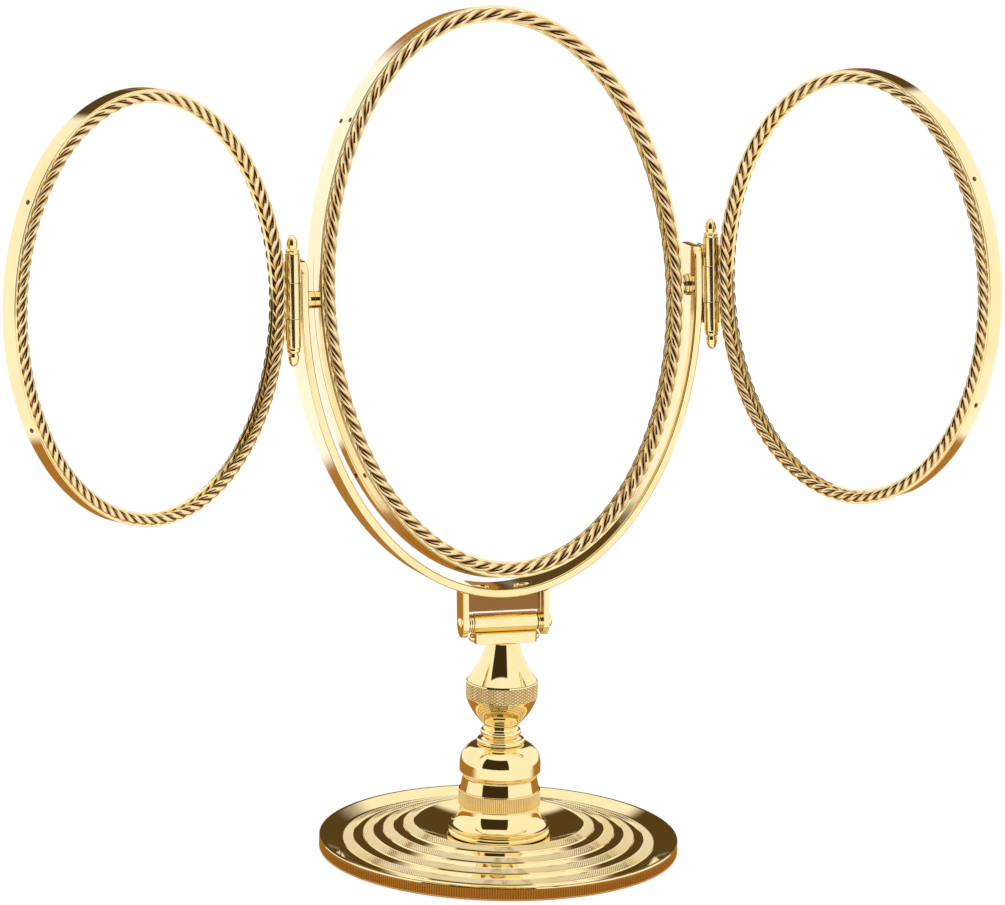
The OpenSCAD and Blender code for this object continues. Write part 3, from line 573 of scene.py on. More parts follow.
def base_profile():
    r, h = BASE_R, BASE_EDGE_TOP
    edge = [(r, 1.1), (r, 1.35), (r, h - 0.9), (r, h - 0.6), (r - 0.18, h - 0.18), (r - 0.6, h)]
    r, h = TROUGH_R, TROUGH_HEIGHT
    top = [(88.5, BASE_EDGE_TOP), (88.1, 7.32), (r + 0.4, h + 0.12), (r, h), (r - 0.4, h + 0.06)]
    r, h = LIP_R, LIP_HEIGHT
    well = [(r + 0.4, h - 0.06), (r, h), (r - 0.4, h - 0.1), (26.2, PLATE_TOP), (ROD_BORE, PLATE_TOP)]
    nut_room = [(ROD_BORE, FLOOR_INSIDE), (9, FLOOR_INSIDE), (9, FLOOR_TOP), (PAD_ROOM_R, FLOOR_TOP)]
    foot = [(PAD_ROOM_R, 0.5), (BASE_R - 0.6, 0.5), (BASE_R - 0.18, 0.68)]
    return edge + top + well + nut_room + foot


def edge_reeds(row, column):
    return (REED_DEPTH if row in (1, 2) and column % 2 else 0, 0)


base_body = cut_round("base_body", base_profile(), 2 * REEDS, edge_reeds)
smooth(base_body, 20)
finish_piece(base_body, base_brass, "base_brass", "base_plate")

# %% [markdown]
# ### Chased rings
#
# A chaser's punch leaves rows of tiny diamonds that sparkle one by one. A bump would only shade
# them, so they are real points here: the ring is a fine grid, alternate grid points are pressed in,
# and its faces stay flat-shaded, as each facet of a diamond is.

# %% Chased rings
RING_INNER_RADII = (42.3, 52.37, 62.43, 72.5)
RING_WIDTH = 6
RING_MARGIN = 0.3
RING_RAISED, RING_SUNK = 0.5, 0.4
CHASED_ROWS = 8
CHASED_STEP = 0.72
CHASED_DEPTH = 0.32


def dish_height(r):
    """Height of the dish's straight slope, a little off the plate's own rounded lip and trough."""
    at_lip, at_trough = LIP_HEIGHT + 0.1, TROUGH_HEIGHT - 0.1
    return at_lip + (at_trough - at_lip) * (r - LIP_R) / (TROUGH_R - LIP_R)


for ring, inner in enumerate(RING_INNER_RADII):
    outer = inner + RING_WIDTH
    cut_width = RING_WIDTH - 2 * RING_MARGIN
    across = [inner + RING_MARGIN + cut_width * i / CHASED_ROWS for i in range(CHASED_ROWS + 1)]
    profile = [(inner, dish_height(inner) - RING_SUNK)]
    profile += [(r, dish_height(r) + RING_RAISED) for r in across]
    profile += [(outer, dish_height(outer) - RING_SUNK)]
    columns = 2 * round(pi * (inner + outer) / 2 / CHASED_STEP)

    def diamonds(row, column):
        inside = 1 < row < CHASED_ROWS + 1
        return (0, CHASED_DEPTH if inside and (row + column) % 2 else 0)

    chased = cut_round("chased_ring_%d" % (ring + 1), profile, columns, diamonds)
    finish_piece(chased, chased_brass, "base_brass", "base_plate")

# %% [markdown]
# ### Column
#
# Foot ring, flared foot, reeded band, body with its domed shoulder, and beaded neck. The curves
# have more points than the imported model's, so that no facets show in the long reflections.

# %% Column
RING_R = 24.1
half_ring = (RING_TOP - PLATE_TOP) / 2
foot_ring = [(ROD_BORE, PLATE_TOP), (RING_R, PLATE_TOP)]
foot_ring += arc((RING_R, PLATE_TOP + half_ring), half_ring, -80, 80, 16)
foot_ring += [(RING_R, RING_TOP), (ROD_BORE, RING_TOP)]
finish_piece(spun("foot_ring_turned", foot_ring), base_brass, "base_brass", "foot_ring")

FLARE_R, FLARE_NARROWS, FLARE_RISES = 25.8, 5.8, 10
column_foot = [(ROD_BORE, RING_TOP), (24, RING_TOP), (24, 12.9), (FLARE_R, 13.7)]
column_foot += [
    (
        FLARE_R - FLARE_NARROWS * sin(radians(a)),
        FOOT_TOP - FLARE_RISES + FLARE_RISES * (1 - cos(radians(a))),
    )
    for a in range(0, 91, 4)
]
column_foot += [(FLARE_R - FLARE_NARROWS, FOOT_TOP), (ROD_BORE, FOOT_TOP)]
finish_piece(spun("column_foot_turned", column_foot), base_brass, "base_brass", "column_foot")

BAND_R = 20.5
BAND_REEDS = 130
BAND_SHAPE = (0, 0.03, 0.2, 0.03)
BAND_EDGE = ((0.4, 0), (0.15, 0.1), (0, 0.4), (0, 0.7))
band = [(ROD_BORE, FOOT_TOP)]
band += [(BAND_R - inward, FOOT_TOP + up) for inward, up in BAND_EDGE]
band += [(BAND_R - inward, BAND_TOP - down) for inward, down in BAND_EDGE[::-1]]
band += [(ROD_BORE, BAND_TOP)]
reeded = cut_round(
    "reeded_band_cut",
    band,
    BAND_REEDS * len(BAND_SHAPE),
    lambda row, column: (BAND_SHAPE[column % len(BAND_SHAPE)] if row in (4, 5) else 0, 0),
)
smooth(reeded, 20)
finish_piece(reeded, reeded_brass, "reeded_brass", "reeded_band")

WAIST_R, WAIST_HEIGHT = 18.6, 38.6
DOME_R, DOME_START, DOME_TOP_R = 20.3, 45.6, 11.5
dome_in, dome_up = DOME_R - DOME_TOP_R, BODY_TOP - DOME_START
body = [(ROD_BORE, BAND_TOP), (19.8, BAND_TOP), (WAIST_R, WAIST_HEIGHT)]
body += [
    (
        WAIST_R + (DOME_R - WAIST_R) * (1 - cos(radians(a))),
        WAIST_HEIGHT + 3.24 * sin(radians(a)),
    )
    for a in range(6, 91, 6)
]
body += [
    (DOME_TOP_R + dome_in * cos(radians(a)), DOME_START + dome_up * sin(radians(a)))
    for a in range(0, 90, 3)
]
body += [(DOME_TOP_R, BODY_TOP), (ROD_BORE, BODY_TOP)]
finish_piece(spun("column_body_turned", body), base_brass, "base_brass", "column_body")

BEAD = 1.414
LOW_BEAD_R, HIGH_BEAD_R = 10.686, 8.886
HIGH_BEAD_HEIGHT = 62.26
neck = [(ROD_BORE, BODY_TOP), (LOW_BEAD_R, BODY_TOP)]
neck += arc((LOW_BEAD_R, BODY_TOP + BEAD), BEAD, -80, 80, 16)
neck += [(LOW_BEAD_R, BODY_TOP + 2 * BEAD), (HIGH_BEAD_R, 60.139)]
neck += arc((HIGH_BEAD_R, HIGH_BEAD_HEIGHT), BEAD, -80, 80, 16)
neck += [(HIGH_BEAD_R, HIGH_BEAD_HEIGHT + BEAD), (8, 64.886), (8.8, NECK_TOP), (ROD_BORE, NECK_TOP)]
finish_piece(spun("neck_collar_turned", neck, edge=0.08), base_brass, "base_brass", "neck_collar")

# %% [markdown]
# ### Lock knob and swivel
#
# The knob's grip is knurled: two families of grooves cross and leave flat-topped diamonds. How far
# a point lies from the nearest groove, counted in diamonds, says how deep it is pressed in.

# %% Lock knob and swivel cone
KNOB_R = 18
KNOB_RIM_R = 17.75
KNOB_BOTTOM, KNOB_TOP = 66.45, 89.05
GRIP_BOTTOM, GRIP_HEIGHT = 80.65, 7.8
DIAMONDS_ROUND = 42
DIAMONDS_HIGH = 5
GRID = 6
GROOVE_HALF = 0.3
KNURL_DEPTH = 0.38

bowl = bend((8.8, KNOB_BOTTOM), (15.2, 72.162), (KNOB_RIM_R, 80.05), 28)
grip_rows = DIAMONDS_HIGH * GRID
knurl_rows = [(KNOB_R, GRIP_BOTTOM + GRIP_HEIGHT * i / grip_rows) for i in range(grip_rows + 1)]
knob_profile = [(ROD_BORE, KNOB_BOTTOM)] + bowl + knurl_rows
knob_profile += [(KNOB_RIM_R, KNOB_TOP), (ROD_BORE, KNOB_TOP)]
first_row = 1 + len(bowl)


def knurl(row, column):
    if not first_row < row < first_row + len(knurl_rows) - 1:
        return (0, 0)
    u, v = column / GRID, (row - first_row) / GRID
    away = min(abs(g - round(g)) for g in (u + v, u - v))
    return (KNURL_DEPTH * (1 - min(1, away / GROOVE_HALF)), 0)


knob = cut_round("lock_knob_knurled", knob_profile, DIAMONDS_ROUND * GRID, knurl)
smooth(knob, 18)
finish_piece(knob, knurled_brass, "knurled_brass", "lock_knob")

CONE_BOTTOM, CONE_TOP = 89.2, 109.2
NUT_ROOM_R, NUT_ROOM_BOTTOM = 6.07, 103.75
cone = [(ROD_BORE, CONE_BOTTOM)]
cone += bend((17.6, CONE_BOTTOM), (10.4, 98), (8, CONE_TOP), 32)
cone += [(NUT_ROOM_R, CONE_TOP), (NUT_ROOM_R, NUT_ROOM_BOTTOM), (ROD_BORE, NUT_ROOM_BOTTOM)]
finish_piece(spun("swivel_cone_turned", cone), base_brass, "base_brass", "swivel_cone")

# %% [markdown]
# ## Oval pieces
#
# Drums, pans and bezels have one section all the way round, given as pairs of inset from the oval
# and depth behind the drum's front edge. The section starts as one oval loop, which is extruded,
# resized and pushed back from corner to corner, and closes on itself.

# %% Oval sections
OVAL_STEPS = 288
SEAT_GAP = 0.1
SLEEVE_OUT, SLEEVE_IN = 1.7, 2.5
SLEEVE_DEPTH = 8
LIP_OUT, LIP_IN = 0.3, 2.0
LIP_FRONT = 1.2
LEDGE = 1
ROPE_FRONT = 1.7
ROPE_RADIUS = {"centre": 3.2, "wing": 2.6}
ROPE_INSET = {"centre": 4.3, "wing": 3.6}


def ledge_inner(kind):
    """How far in from the oval the ledge behind a rope ends, in millimetres."""
    r = ROPE_RADIUS[kind]
    axis = max(LIP_IN + r, SLEEVE_IN + sqrt(r * r - (ROPE_FRONT - SEAT_GAP) ** 2))
    return axis + r - 0.3


def oval_loop_to(old, new, a, b):
    """Extrudes the selected oval loop to the next corner of a section."""
    bpy.ops.mesh.extrude_region()
    bpy.ops.transform.resize(value=((a - new[0]) / (a - old[0]), 1, (b - new[0]) / (b - old[0])))
    bpy.ops.transform.translate(value=(0, (new[1] - old[1]) * MM, 0))


def oval_piece(name, a, b, section, matrix, edge=0.25):
    """A closed section carried round the oval with half axes a and b, all in millimetres."""
    deselect()
    bpy.ops.mesh.primitive_circle_add(vertices=OVAL_STEPS, radius=1, rotation=(pi / 2, 0, 0))
    piece = bpy.context.object
    piece.name = piece.data.name = name
    bpy.ops.object.transform_apply(location=True, rotation=True, scale=True)
    bpy.ops.object.mode_set(mode="EDIT")
    bpy.ops.mesh.select_all(action="SELECT")
    inset, depth = section[0]
    bpy.ops.transform.resize(value=((a - inset) * MM, 1, (b - inset) * MM))
    bpy.ops.transform.translate(value=(0, depth * MM, 0))
    for old, new in zip(section, section[1:] + section[:1]):
        oval_loop_to(old, new, a, b)
    bpy.ops.mesh.select_all(action="SELECT")
    bpy.ops.mesh.remove_doubles(threshold=2e-6)
    bpy.ops.mesh.normals_make_consistent(inside=False)
    bpy.ops.object.mode_set(mode="OBJECT")
    bevel(piece, edge * MM, segments=3, angle=30)
    place(piece, matrix)
    smooth(piece, 25)
    return piece


def bezel_section(kind):
    ledge = ROPE_RADIUS[kind] - ROPE_FRONT
    inner = ledge_inner(kind)
    return [
        (LIP_OUT, 0), (LIP_OUT, -LIP_FRONT), (LIP_IN, -LIP_FRONT), (LIP_IN, -SEAT_GAP),
        (SLEEVE_IN, -SEAT_GAP), (SLEEVE_IN, ledge), (inner, ledge), (inner, ledge + LEDGE),
        (SLEEVE_IN, ledge + LEDGE), (SLEEVE_IN, SLEEVE_DEPTH), (SLEEVE_OUT, SLEEVE_DEPTH),
        (SLEEVE_OUT, 0),
    ]


# %% [markdown]
# ### Middle drum and its bezels
#
# The drum is a hoop of sheet brass, open to both faces, with a fine line cut round the middle of
# its wall. A bezel is pressed into each end of it: its lip shows outside the rope, and its sleeve
# goes inside the drum, where the screws hold it.

# %% Middle drum and its bezels
WALL = 1.6
half_depth = DRUM_DEPTH / 2 / MM
drum_section = [
    (0, -half_depth), (0, -0.25), (0.3, 0), (0, 0.25), (0, half_depth), (WALL, half_depth),
    (WALL, -half_depth),
]
drum = oval_piece("centre_drum_round", *CENTRE_OVAL, drum_section, in_centre, edge=0.2)
finish_piece(drum, polished_brass, "polished_brass", "centre_drum")
for name, node, matrix in (
    ("front_bezel_round", "centre_front_bezel", centre_front),
    ("back_bezel_round", "centre_back_bezel", centre_back),
):
    bezel = oval_piece(name, *CENTRE_OVAL, bezel_section("centre"), matrix)
    finish_piece(bezel, polished_brass, "polished_brass", node)

# %% [markdown]
# ### Wing pans and their bezels
#
# A wing is pressed from one sheet, like a baking tin: a low wall and a closed back in one piece. It
# is drawn as two chains of loops, one outside and one inside, that start on the same rim and are
# each closed by a flat oval face.

# %% Wing pans and their bezels
WING_DEPTH = 13.2
BACK_ROUNDING = 0.9


def wing_pan(side):
    """A wing's wall and its closed back."""
    a, b = WING_OVAL
    outside = [
        (0, 0), (0, WING_DEPTH - BACK_ROUNDING), (0.27, WING_DEPTH - 0.27),
        (BACK_ROUNDING, WING_DEPTH),
    ]
    inside = [(0, 0), (WALL, 0), (WALL, WING_DEPTH - WALL)]
    deselect()
    bpy.ops.mesh.primitive_circle_add(vertices=OVAL_STEPS, radius=1, rotation=(pi / 2, 0, 0))
    piece = bpy.context.object
    piece.name = piece.data.name = side + "_pan_round"
    bpy.ops.object.transform_apply(location=True, rotation=True, scale=True)
    bpy.ops.object.mode_set(mode="EDIT")
    for chain in (outside, inside):
        if chain is inside:
            bpy.ops.mesh.select_all(action="DESELECT")
            bpy.ops.mesh.primitive_circle_add(vertices=OVAL_STEPS, radius=1, rotation=(pi / 2, 0, 0))
        else:
            bpy.ops.mesh.select_all(action="SELECT")
        bpy.ops.transform.resize(value=(a * MM, 1, b * MM))
        for old, new in zip(chain, chain[1:]):
            oval_loop_to(old, new, a, b)
        bpy.ops.mesh.edge_face_add()
    bpy.ops.mesh.select_all(action="SELECT")
    bpy.ops.mesh.remove_doubles(threshold=2e-6)
    bpy.ops.mesh.normals_make_consistent(inside=False)
    bpy.ops.object.mode_set(mode="OBJECT")
    bevel(piece, 0.2 * MM, segments=3, angle=30)
    place(piece, wing_matrix(side))
    smooth(piece, 25)
    return finish_piece(piece, polished_brass, "polished_brass", side + "_drum")


for side in ("left", "right"):
    wing_pan(side)
    bezel = oval_piece(side + "_bezel_round", *WING_OVAL, bezel_section("wing"), wing_matrix(side))
    finish_piece(bezel, polished_brass, "polished_brass", side + "_bezel")

# %% [markdown]
# ### Magnifying glass
#
# The back of the middle mirror is slightly hollow. The hollow is a shallow round bowl, cut out of a
# flat oval glass, and is drawn with many rings so that what it mirrors bends smoothly.

# %% Magnifying glass
GLASS_INSET = 2.7
GLASS_THICKNESS = 3
HOLLOW = 2
GLASS_RINGS = 30
GLASS_STEPS = 144


def hollow_glass():
    a, b = (half - GLASS_INSET for half in CENTRE_OVAL)
    front = ROPE_RADIUS["centre"] - ROPE_FRONT + LEDGE
    bowl_r = CENTRE_OVAL[1] + GLASS_INSET
    turns = [2 * pi * step / GLASS_STEPS for step in range(GLASS_STEPS)]
    points = [(0, (front + HOLLOW) * MM, 0)]
    for ring in range(1, GLASS_RINGS + 1):
        for t in turns:
            x, z = a * cos(t) * ring / GLASS_RINGS, b * sin(t) * ring / GLASS_RINGS
            y = front + HOLLOW * (1 - (x * x + z * z) / (bowl_r * bowl_r))
            points.append((x * MM, y * MM, z * MM))
    back = len(points)
    points += [(a * cos(t) * MM, (front + GLASS_THICKNESS) * MM, b * sin(t) * MM) for t in turns]
    faces = []
    for step in range(GLASS_STEPS):
        after = (step + 1) % GLASS_STEPS
        faces.append((0, 1 + step, 1 + after))
        for ring in range(GLASS_RINGS):
            inner = 1 + ring * GLASS_STEPS
            outer = inner + GLASS_STEPS
            faces.append((inner + step, outer + step, outer + after, inner + after))
    faces.append(tuple(range(back + GLASS_STEPS - 1, back - 1, -1)))
    piece = new_mesh("magnifying_glass_hollow", points, faces)
    in_edit(piece, lambda: bpy.ops.mesh.normals_make_consistent(inside=False))
    place(piece, centre_back)
    smooth(piece, 30)
    return finish_piece(piece, mirror_glass, "magnifying_glass", "magnifying_glass")


hollow_glass()

# %% [markdown]
# ## Rounded copies
#
# The yoke, its bracket, the hinges and the small fittings already have their shapes. Each is copied
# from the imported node, joined up and given rounded edges of a width that suits its size. The bevel
# isn't clamped, because one tiny edge of a copied mesh would make it tiny everywhere.

# %% Yoke, bracket, hinges and fittings
# Width of the rounded edges in millimetres, and how many segments they have
rounded_nodes = {
    "yoke_band": (0.9, 4),
    "yoke_bracket": (0.35, 3),
    "saddle_plate": (0.3, 2),
    "tilt_barrel": (0.15, 2),
    "tilt_washers": (0.1, 2),
    "tilt_nut": (0.2, 2),
    "tilt_pin": (0.2, 2),
    "left_yoke_leaf": (0.18, 2),
    "right_yoke_leaf": (0.18, 2),
    "left_wing_leaf": (0.18, 2),
    "right_wing_leaf": (0.18, 2),
    "left_finials": (0.1, 2),
    "right_finials": (0.1, 2),
    "pivot_pins": (0.2, 2),
    "pivot_bushes": (0.15, 2),
}
WEB_FRONT = -0.8 * MM
WEB_TOLERANCE = 0.05 * MM
for node, (width, segments) in rounded_nodes.items():
    piece = copy_of_node(node, node + "_rounded")
    bevel(piece, width * MM, segments=segments, angle=32, clamp=False)
    smooth(piece, 32)
    slot = slot_of_node[node]
    # The bracket's recessed web is marked as a groove, so the bracket brass paints shade on it
    if node == "yoke_bracket":
        from_head = in_head.inverted()
        away = [(from_head @ vertex.co).y - WEB_FRONT for vertex in piece.data.vertices]
        mark_grooves(piece, [1.0 if abs(gap) < WEB_TOLERANCE else 0.0 for gap in away])
        finish_piece(piece, bracket_brass, slot, node)
    else:
        finish_piece(piece, slot_material[slot], slot, node)

for node in ("centre_screws", "left_screws", "right_screws"):
    piece = copy_of_node(node, node + "_rounded")
    smooth(piece, 32)
    finish_piece(piece, dark_brass, slot_of_node[node], node)

# %% [markdown]
# ## The ropes
#
# Each mirror has a border of three brass wires laid together like a rope. A texture can't do this:
# the outline itself is scalloped, and each wire mirrors the room anew. Every wire is a helix round
# the oval, so it is drawn as a closed curve with a round section and then turned into a mesh. The
# turns have to be even along the oval's length, and equal steps of its angle aren't: they crowd at
# the narrow ends. So the oval is first measured in fine steps and then cut into equal lengths.

# %% Even steps round an oval
FINE_STEPS = 1440


def even_angles(a, b, count):
    """Angles that cut the oval with half axes a and b into stretches of equal length."""
    lengths = [0.0]
    for i in range(FINE_STEPS):
        t0, t1 = 2 * pi * i / FINE_STEPS, 2 * pi * (i + 1) / FINE_STEPS
        lengths.append(lengths[-1] + hypot(a * (cos(t1) - cos(t0)), b * (sin(t1) - sin(t0))))
    angles, i = [], 0
    for k in range(count):
        target = lengths[-1] * k / count
        while lengths[i + 1] < target:
            i += 1
        share = (target - lengths[i]) / (lengths[i + 1] - lengths[i])
        angles.append(2 * pi * (i + share) / FINE_STEPS)
    return angles


# %% [markdown]
# ### Wires
#
# The strands are a little longer over the upper half of each oval, as hand-laid rope is never quite
# even. Where the wires touch, a groove is left, and the distance from the rope's axis says how deep
# a point lies in it. The lay of the left wing's rope runs the other way, because that wing is the
# right one mirrored.

# %% Twisted ropes
WIRES = 3
ROPE_TURNS = 31
WIRE_SHARE = 0.4875
STEPS_PER_TURN = 16
ROPE_EASE = 0.12

# How far out from the rope's axis, as a share of its radius, the grooves end, and their depth
GROOVE_TOP = 0.96
GROOVE_DEPTH = 0.22


def rope(name, kind, oval, matrix, node):
    """Three wires round an oval, for a node's rope, with the shade of their grooves stored."""
    radius = ROPE_RADIUS[kind] * MM
    wire_radius = radius * WIRE_SHARE
    ra, rb = ((half - ROPE_INSET[kind]) * MM for half in oval)
    count = ROPE_TURNS * STEPS_PER_TURN
    angles = even_angles(ra, rb, count)
    curve = bpy.data.curves.new(name, "CURVE")
    curve.dimensions = "3D"
    curve.bevel_depth = wire_radius
    curve.bevel_resolution = 3
    for wire in range(WIRES):
        spline = curve.splines.new("POLY")
        spline.points.add(count - 1)
        spline.use_cyclic_u = True
        for i, t in enumerate(angles):
            out = Vector((rb * cos(t), ra * sin(t))).normalized()
            share = i / count
            laid = ROPE_TURNS * (share + ROPE_EASE * cos(2 * pi * share) / (2 * pi))
            turn = 2 * pi * (wire / WIRES - laid)
            reach = (radius - wire_radius) * cos(turn)
            x = ra * cos(t) + out.x * reach
            z = rb * sin(t) + out.y * reach
            y = -ROPE_FRONT * MM + (radius - wire_radius) * sin(turn)
            spline.points[i].co = (x, y, z, 1)
    piece = bpy.data.objects.new(name, curve)
    bpy.context.scene.collection.objects.link(piece)
    make_active(piece)
    bpy.ops.object.convert(target="MESH")
    piece = bpy.context.object
    section = len(piece.data.vertices) // (WIRES * count)
    # Painted shade in the grooves between the wires: the deeper a point lies, the darker
    shares = []
    for i, vertex in enumerate(piece.data.vertices):
        angle = angles[i // section % count]
        out = Vector((rb * cos(angle), ra * sin(angle))).normalized()
        from_axis = Vector((vertex.co.x - ra * cos(angle), vertex.co.z - rb * sin(angle)))
        reach = hypot(from_axis.dot(out), vertex.co.y + ROPE_FRONT * MM) / radius
        shares.append(min(1, max(0, (GROOVE_TOP - reach) / GROOVE_DEPTH)))
    mark_grooves(piece, shares)
    place(piece, matrix)
    bpy.ops.object.shade_smooth()
    return finish_piece(piece, rope_brass, "rope_brass", node)


rope("front_rope_wires", "centre", CENTRE_OVAL, centre_front, "centre_front_rope")
rope("back_rope_wires", "centre", CENTRE_OVAL, centre_back, "centre_back_rope")
rope("left_rope_wires", "wing", WING_OVAL, wing_matrix("left"), "left_rope")
rope("right_rope_wires", "wing", WING_OVAL, wing_matrix("right"), "right_rope")

# %% [markdown]
# ## The studio
#
# Polished metal shows its surroundings and little else, so the studio is what gives this object
# its colours. The camera itself sees plain white, as behind a cut-out picture, while reflections
# see a room of their own: a shader can tell the two apart by the kind of ray. The masks of that
# room are windows with soft edges, in azimuth, height and distance.

# %% Masks with soft edges
WHITE = (1.12, 1.10, 1.06, 1)


def soft_step(tree, value, low, high, rising):
    """Goes smoothly from 0 to 1 between two values, or from 1 to 0 where it isn't rising."""
    step = tree.nodes.new("ShaderNodeMapRange")
    step.interpolation_type = "SMOOTHSTEP"
    step.inputs["From Min"].default_value = low
    step.inputs["From Max"].default_value = high
    step.inputs["To Min"].default_value = 0 if rising else 1
    step.inputs["To Max"].default_value = 1 if rising else 0
    tree.links.new(value, step.inputs["Value"])
    return step.outputs["Result"]


def window(tree, angle, low, high, edge):
    """1 between two angles in degrees and 0 outside them, with soft edges."""
    opens = soft_step(tree, angle, radians(low - edge), radians(low + edge), True)
    closes = soft_step(tree, angle, radians(high - edge), radians(high + edge), False)
    return math_node(tree, "MULTIPLY", opens, closes)


def either(tree, ray, otherwise, on_ray):
    """A mix of two shaders: the second for one kind of ray, and the first for all others."""
    mix = tree.nodes.new("ShaderNodeMixShader")
    tree.links.new(ray, mix.inputs["Fac"])
    tree.links.new(otherwise, mix.inputs[1])
    tree.links.new(on_ray, mix.inputs[2])
    return mix.outputs[0]


# %% [markdown]
# ### Floor
#
# The mirror stands on a brown table top, which turns the undersides of all its turned pieces orange.
# In reflections it is brown close round the foot, where the brown is a painted shadow of the foot on
# the table, further out behind it, and in a strip far behind, and the rest is white. To the camera the
# floor is nearly all plain white, with enough of a matt surface left in it to keep a faint shadow.

# %% Floor
FLOOR = 30.0
TABLE = (0.44, 0.20, 0.042, 1)
SHOWN_WHITE = 1.03
SHOWN_SHARE = 0.92

# Where the brown begins and ends to fade, in metres from the foot
FOOT_SHADOW_FADE = (0.105, 0.13)
BACK_FADE = (0.49, 0.53)
BEHIND_FADE = (-0.05, 0.03)
FAR_FADE = (1.06, 1.14)
FAR_AZIMUTHS = (2, 34)

floor_data = bpy.data.meshes.new("floor")
floor_data.from_pydata(
    [(-FLOOR, -FLOOR, 0), (FLOOR, -FLOOR, 0), (FLOOR, FLOOR, 0), (-FLOOR, FLOOR, 0)],
    [],
    [(0, 1, 2, 3)],
)
floor = bpy.data.objects.new("floor", floor_data)
bpy.context.scene.collection.objects.link(floor)


def brown_share(tree):
    """1 where the table top is brown to what it mirrors in, and 0 where it is white."""
    coordinates = tree.nodes.new("ShaderNodeTexCoord").outputs["Object"]
    length = tree.nodes.new("ShaderNodeVectorMath")
    length.operation = "LENGTH"
    tree.links.new(coordinates, length.inputs[0])
    distance = length.outputs["Value"]
    parts = tree.nodes.new("ShaderNodeSeparateXYZ")
    tree.links.new(coordinates, parts.inputs[0])
    x, y = parts.outputs["X"], parts.outputs["Y"]

    # Brown close round the foot: a painted shadow of the foot, seen only in reflections
    foot_shadow_ring = soft_step(tree, distance, *FOOT_SHADOW_FADE, False)
    nearer = soft_step(tree, distance, *BACK_FADE, False)
    at_back = math_node(tree, "MULTIPLY", nearer, soft_step(tree, y, *BEHIND_FADE, True))
    azimuth = math_node(tree, "ARCTAN2", x, y)
    further = soft_step(tree, distance, *FAR_FADE, True)
    far_strip = math_node(tree, "MULTIPLY", window(tree, azimuth, *FAR_AZIMUTHS, 3), further)
    return math_node(tree, "MAXIMUM", math_node(tree, "MAXIMUM", foot_shadow_ring, at_back), far_strip)


def floor_material():
    """White to the camera, with the shadow kept, and white and brown to what mirrors it."""
    material = bpy.data.materials.new("floor")
    material.use_nodes = True
    tree = material.node_tree
    tree.nodes.remove(tree.nodes["Principled BSDF"])
    path = tree.nodes.new("ShaderNodeLightPath")
    matt = tree.nodes.new("ShaderNodeBsdfDiffuse")
    matt.inputs["Color"].default_value = (0.8, 0.8, 0.8, 1)
    white = tree.nodes.new("ShaderNodeEmission")
    white.inputs["Color"].default_value = (1, 1, 1, 1)
    white.inputs["Strength"].default_value = SHOWN_WHITE
    shown = tree.nodes.new("ShaderNodeMixShader")
    shown.inputs["Fac"].default_value = SHOWN_SHARE
    tree.links.new(matt.outputs[0], shown.inputs[1])
    tree.links.new(white.outputs[0], shown.inputs[2])
    mirrored = tree.nodes.new("ShaderNodeEmission")
    tree.links.new(mix_colours(tree, brown_share(tree), WHITE, TABLE), mirrored.inputs["Color"])

    by_camera = either(tree, path.outputs["Is Camera Ray"], matt.outputs[0], shown.outputs[0])
    surface = either(tree, path.outputs["Is Glossy Ray"], by_camera, mirrored.outputs[0])
    tree.links.new(surface, tree.nodes["Material Output"].inputs["Surface"])
    return material


floor.data.materials.append(floor_material())
print("floor", 2 * FLOOR, "m wide")

# %% [markdown]
# ### Room
#
# In front hangs a white screen with a dark opening, where the camera looks through. That opening is
# the black shape down the middle of every turned piece. Behind, two patches of the room are brown,
# one low and one above it. All else is white, which lights the mirror evenly.

# %% Room
# Patches of the room: colour, whether it lies behind, azimuths, elevations, softness. Azimuths run
# to the viewer's right, from straight in front or, for what lies behind, from straight behind.
PATCHES = (
    ((0.10, 0.06, 0.018, 1), True, (4, 34), (-10, 3), 2),
    ((0.10, 0.06, 0.018, 1), True, (-12, 34), (2, 37), 3),
    ((0.045, 0.03, 0.01, 1), False, (-66, 11.8), (-10, 48), 1.0),
)
ROOM_LIGHT = (0.95, 0.97, 1.0, 1)
ROOM_STRENGTH = 0.75


def background(tree, colour, strength=1.0):
    node = tree.nodes.new("ShaderNodeBackground")
    feed(tree, node.inputs["Color"], colour)
    node.inputs["Strength"].default_value = strength
    return node.outputs[0]


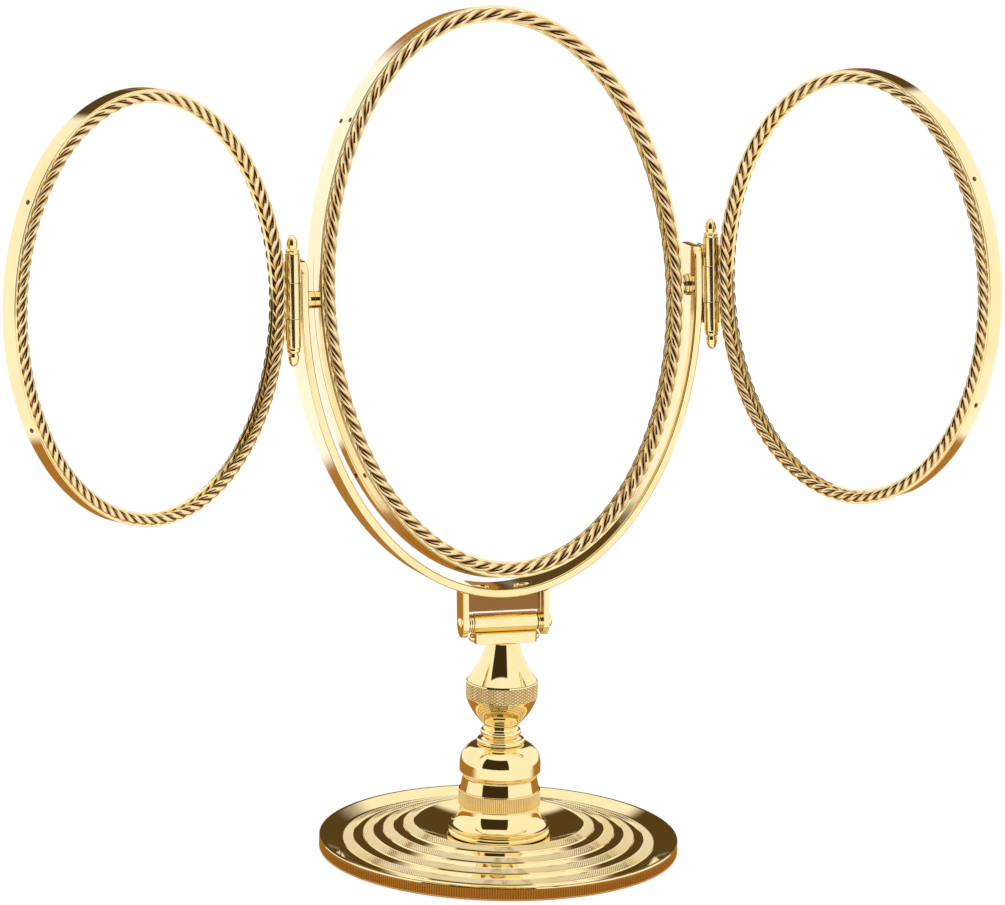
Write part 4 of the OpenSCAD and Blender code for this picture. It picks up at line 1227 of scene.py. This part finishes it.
def studio_world():
    world = bpy.data.worlds.new("studio")
    bpy.context.scene.world = world
    world.use_nodes = True
    tree = world.node_tree
    tree.nodes.remove(tree.nodes["Background"])
    path = tree.nodes.new("ShaderNodeLightPath")
    coordinates = tree.nodes.new("ShaderNodeTexCoord")
    parts = tree.nodes.new("ShaderNodeSeparateXYZ")
    tree.links.new(coordinates.outputs["Generated"], parts.inputs[0])
    x, y, z = (parts.outputs[axis] for axis in "XYZ")
    in_front = math_node(tree, "ARCTAN2", x, math_node(tree, "MULTIPLY", y, -1.0))
    behind = math_node(tree, "ARCTAN2", x, y)
    up = math_node(tree, "ARCSINE", z)

    colour = WHITE
    for patch, lies_behind, azimuths, elevations, edge in PATCHES:
        across = window(tree, behind if lies_behind else in_front, *azimuths, edge)
        mask = math_node(tree, "MULTIPLY", across, window(tree, up, *elevations, edge))
        colour = mix_colours(tree, mask, colour, patch)

    lit = background(tree, ROOM_LIGHT, ROOM_STRENGTH)
    seen = background(tree, (1, 1, 1, 1))
    by_camera = either(tree, path.outputs["Is Camera Ray"], lit, seen)
    surface = either(tree, path.outputs["Is Glossy Ray"], by_camera, background(tree, colour))
    tree.links.new(surface, tree.nodes["World Output"].inputs["Surface"])


studio_world()
print("patches:", len(PATCHES))

# %% [markdown]
# ### Lamps
#
# Two large soft lamps stand at the sides of the camera. Brass hardly needs them: they light the
# matt floor, where they lay the faint shadow. They are hidden from reflections, so that no bright
# rectangle shows in the metal.

# %% Lamps


def lamp(name, stand, target, size, power):
    """A soft lamp of a size in metres and a power in watts, turned towards a target."""
    data = bpy.data.lights.new(name, "AREA")
    data.shape = "RECTANGLE"
    data.size, data.size_y = size
    data.energy = power
    lamp_object = bpy.data.objects.new(name, data)
    bpy.context.scene.collection.objects.link(lamp_object)
    lamp_object.location = stand
    direction = Vector(target) - Vector(stand)
    lamp_object.rotation_euler = direction.to_track_quat("-Z", "Y").to_euler()
    lamp_object.visible_glossy = False
    print(name, power, "W")


LAMP_TARGET = (0, 0, 0.2)
lamp("key lamp", (-1.6, -1.8, 1.9), LAMP_TARGET, (1.0, 1.4), 22)
lamp("fill lamp", (1.9, -1.5, 1.2), LAMP_TARGET, (1.0, 1.2), 12)

# %% [markdown]
# ## The end
#
# The colours are shown with the plain view transform, and the scene is brought up to date.

# %% Finish
bpy.context.scene.view_settings.view_transform = "Standard"
bpy.context.view_layer.update()
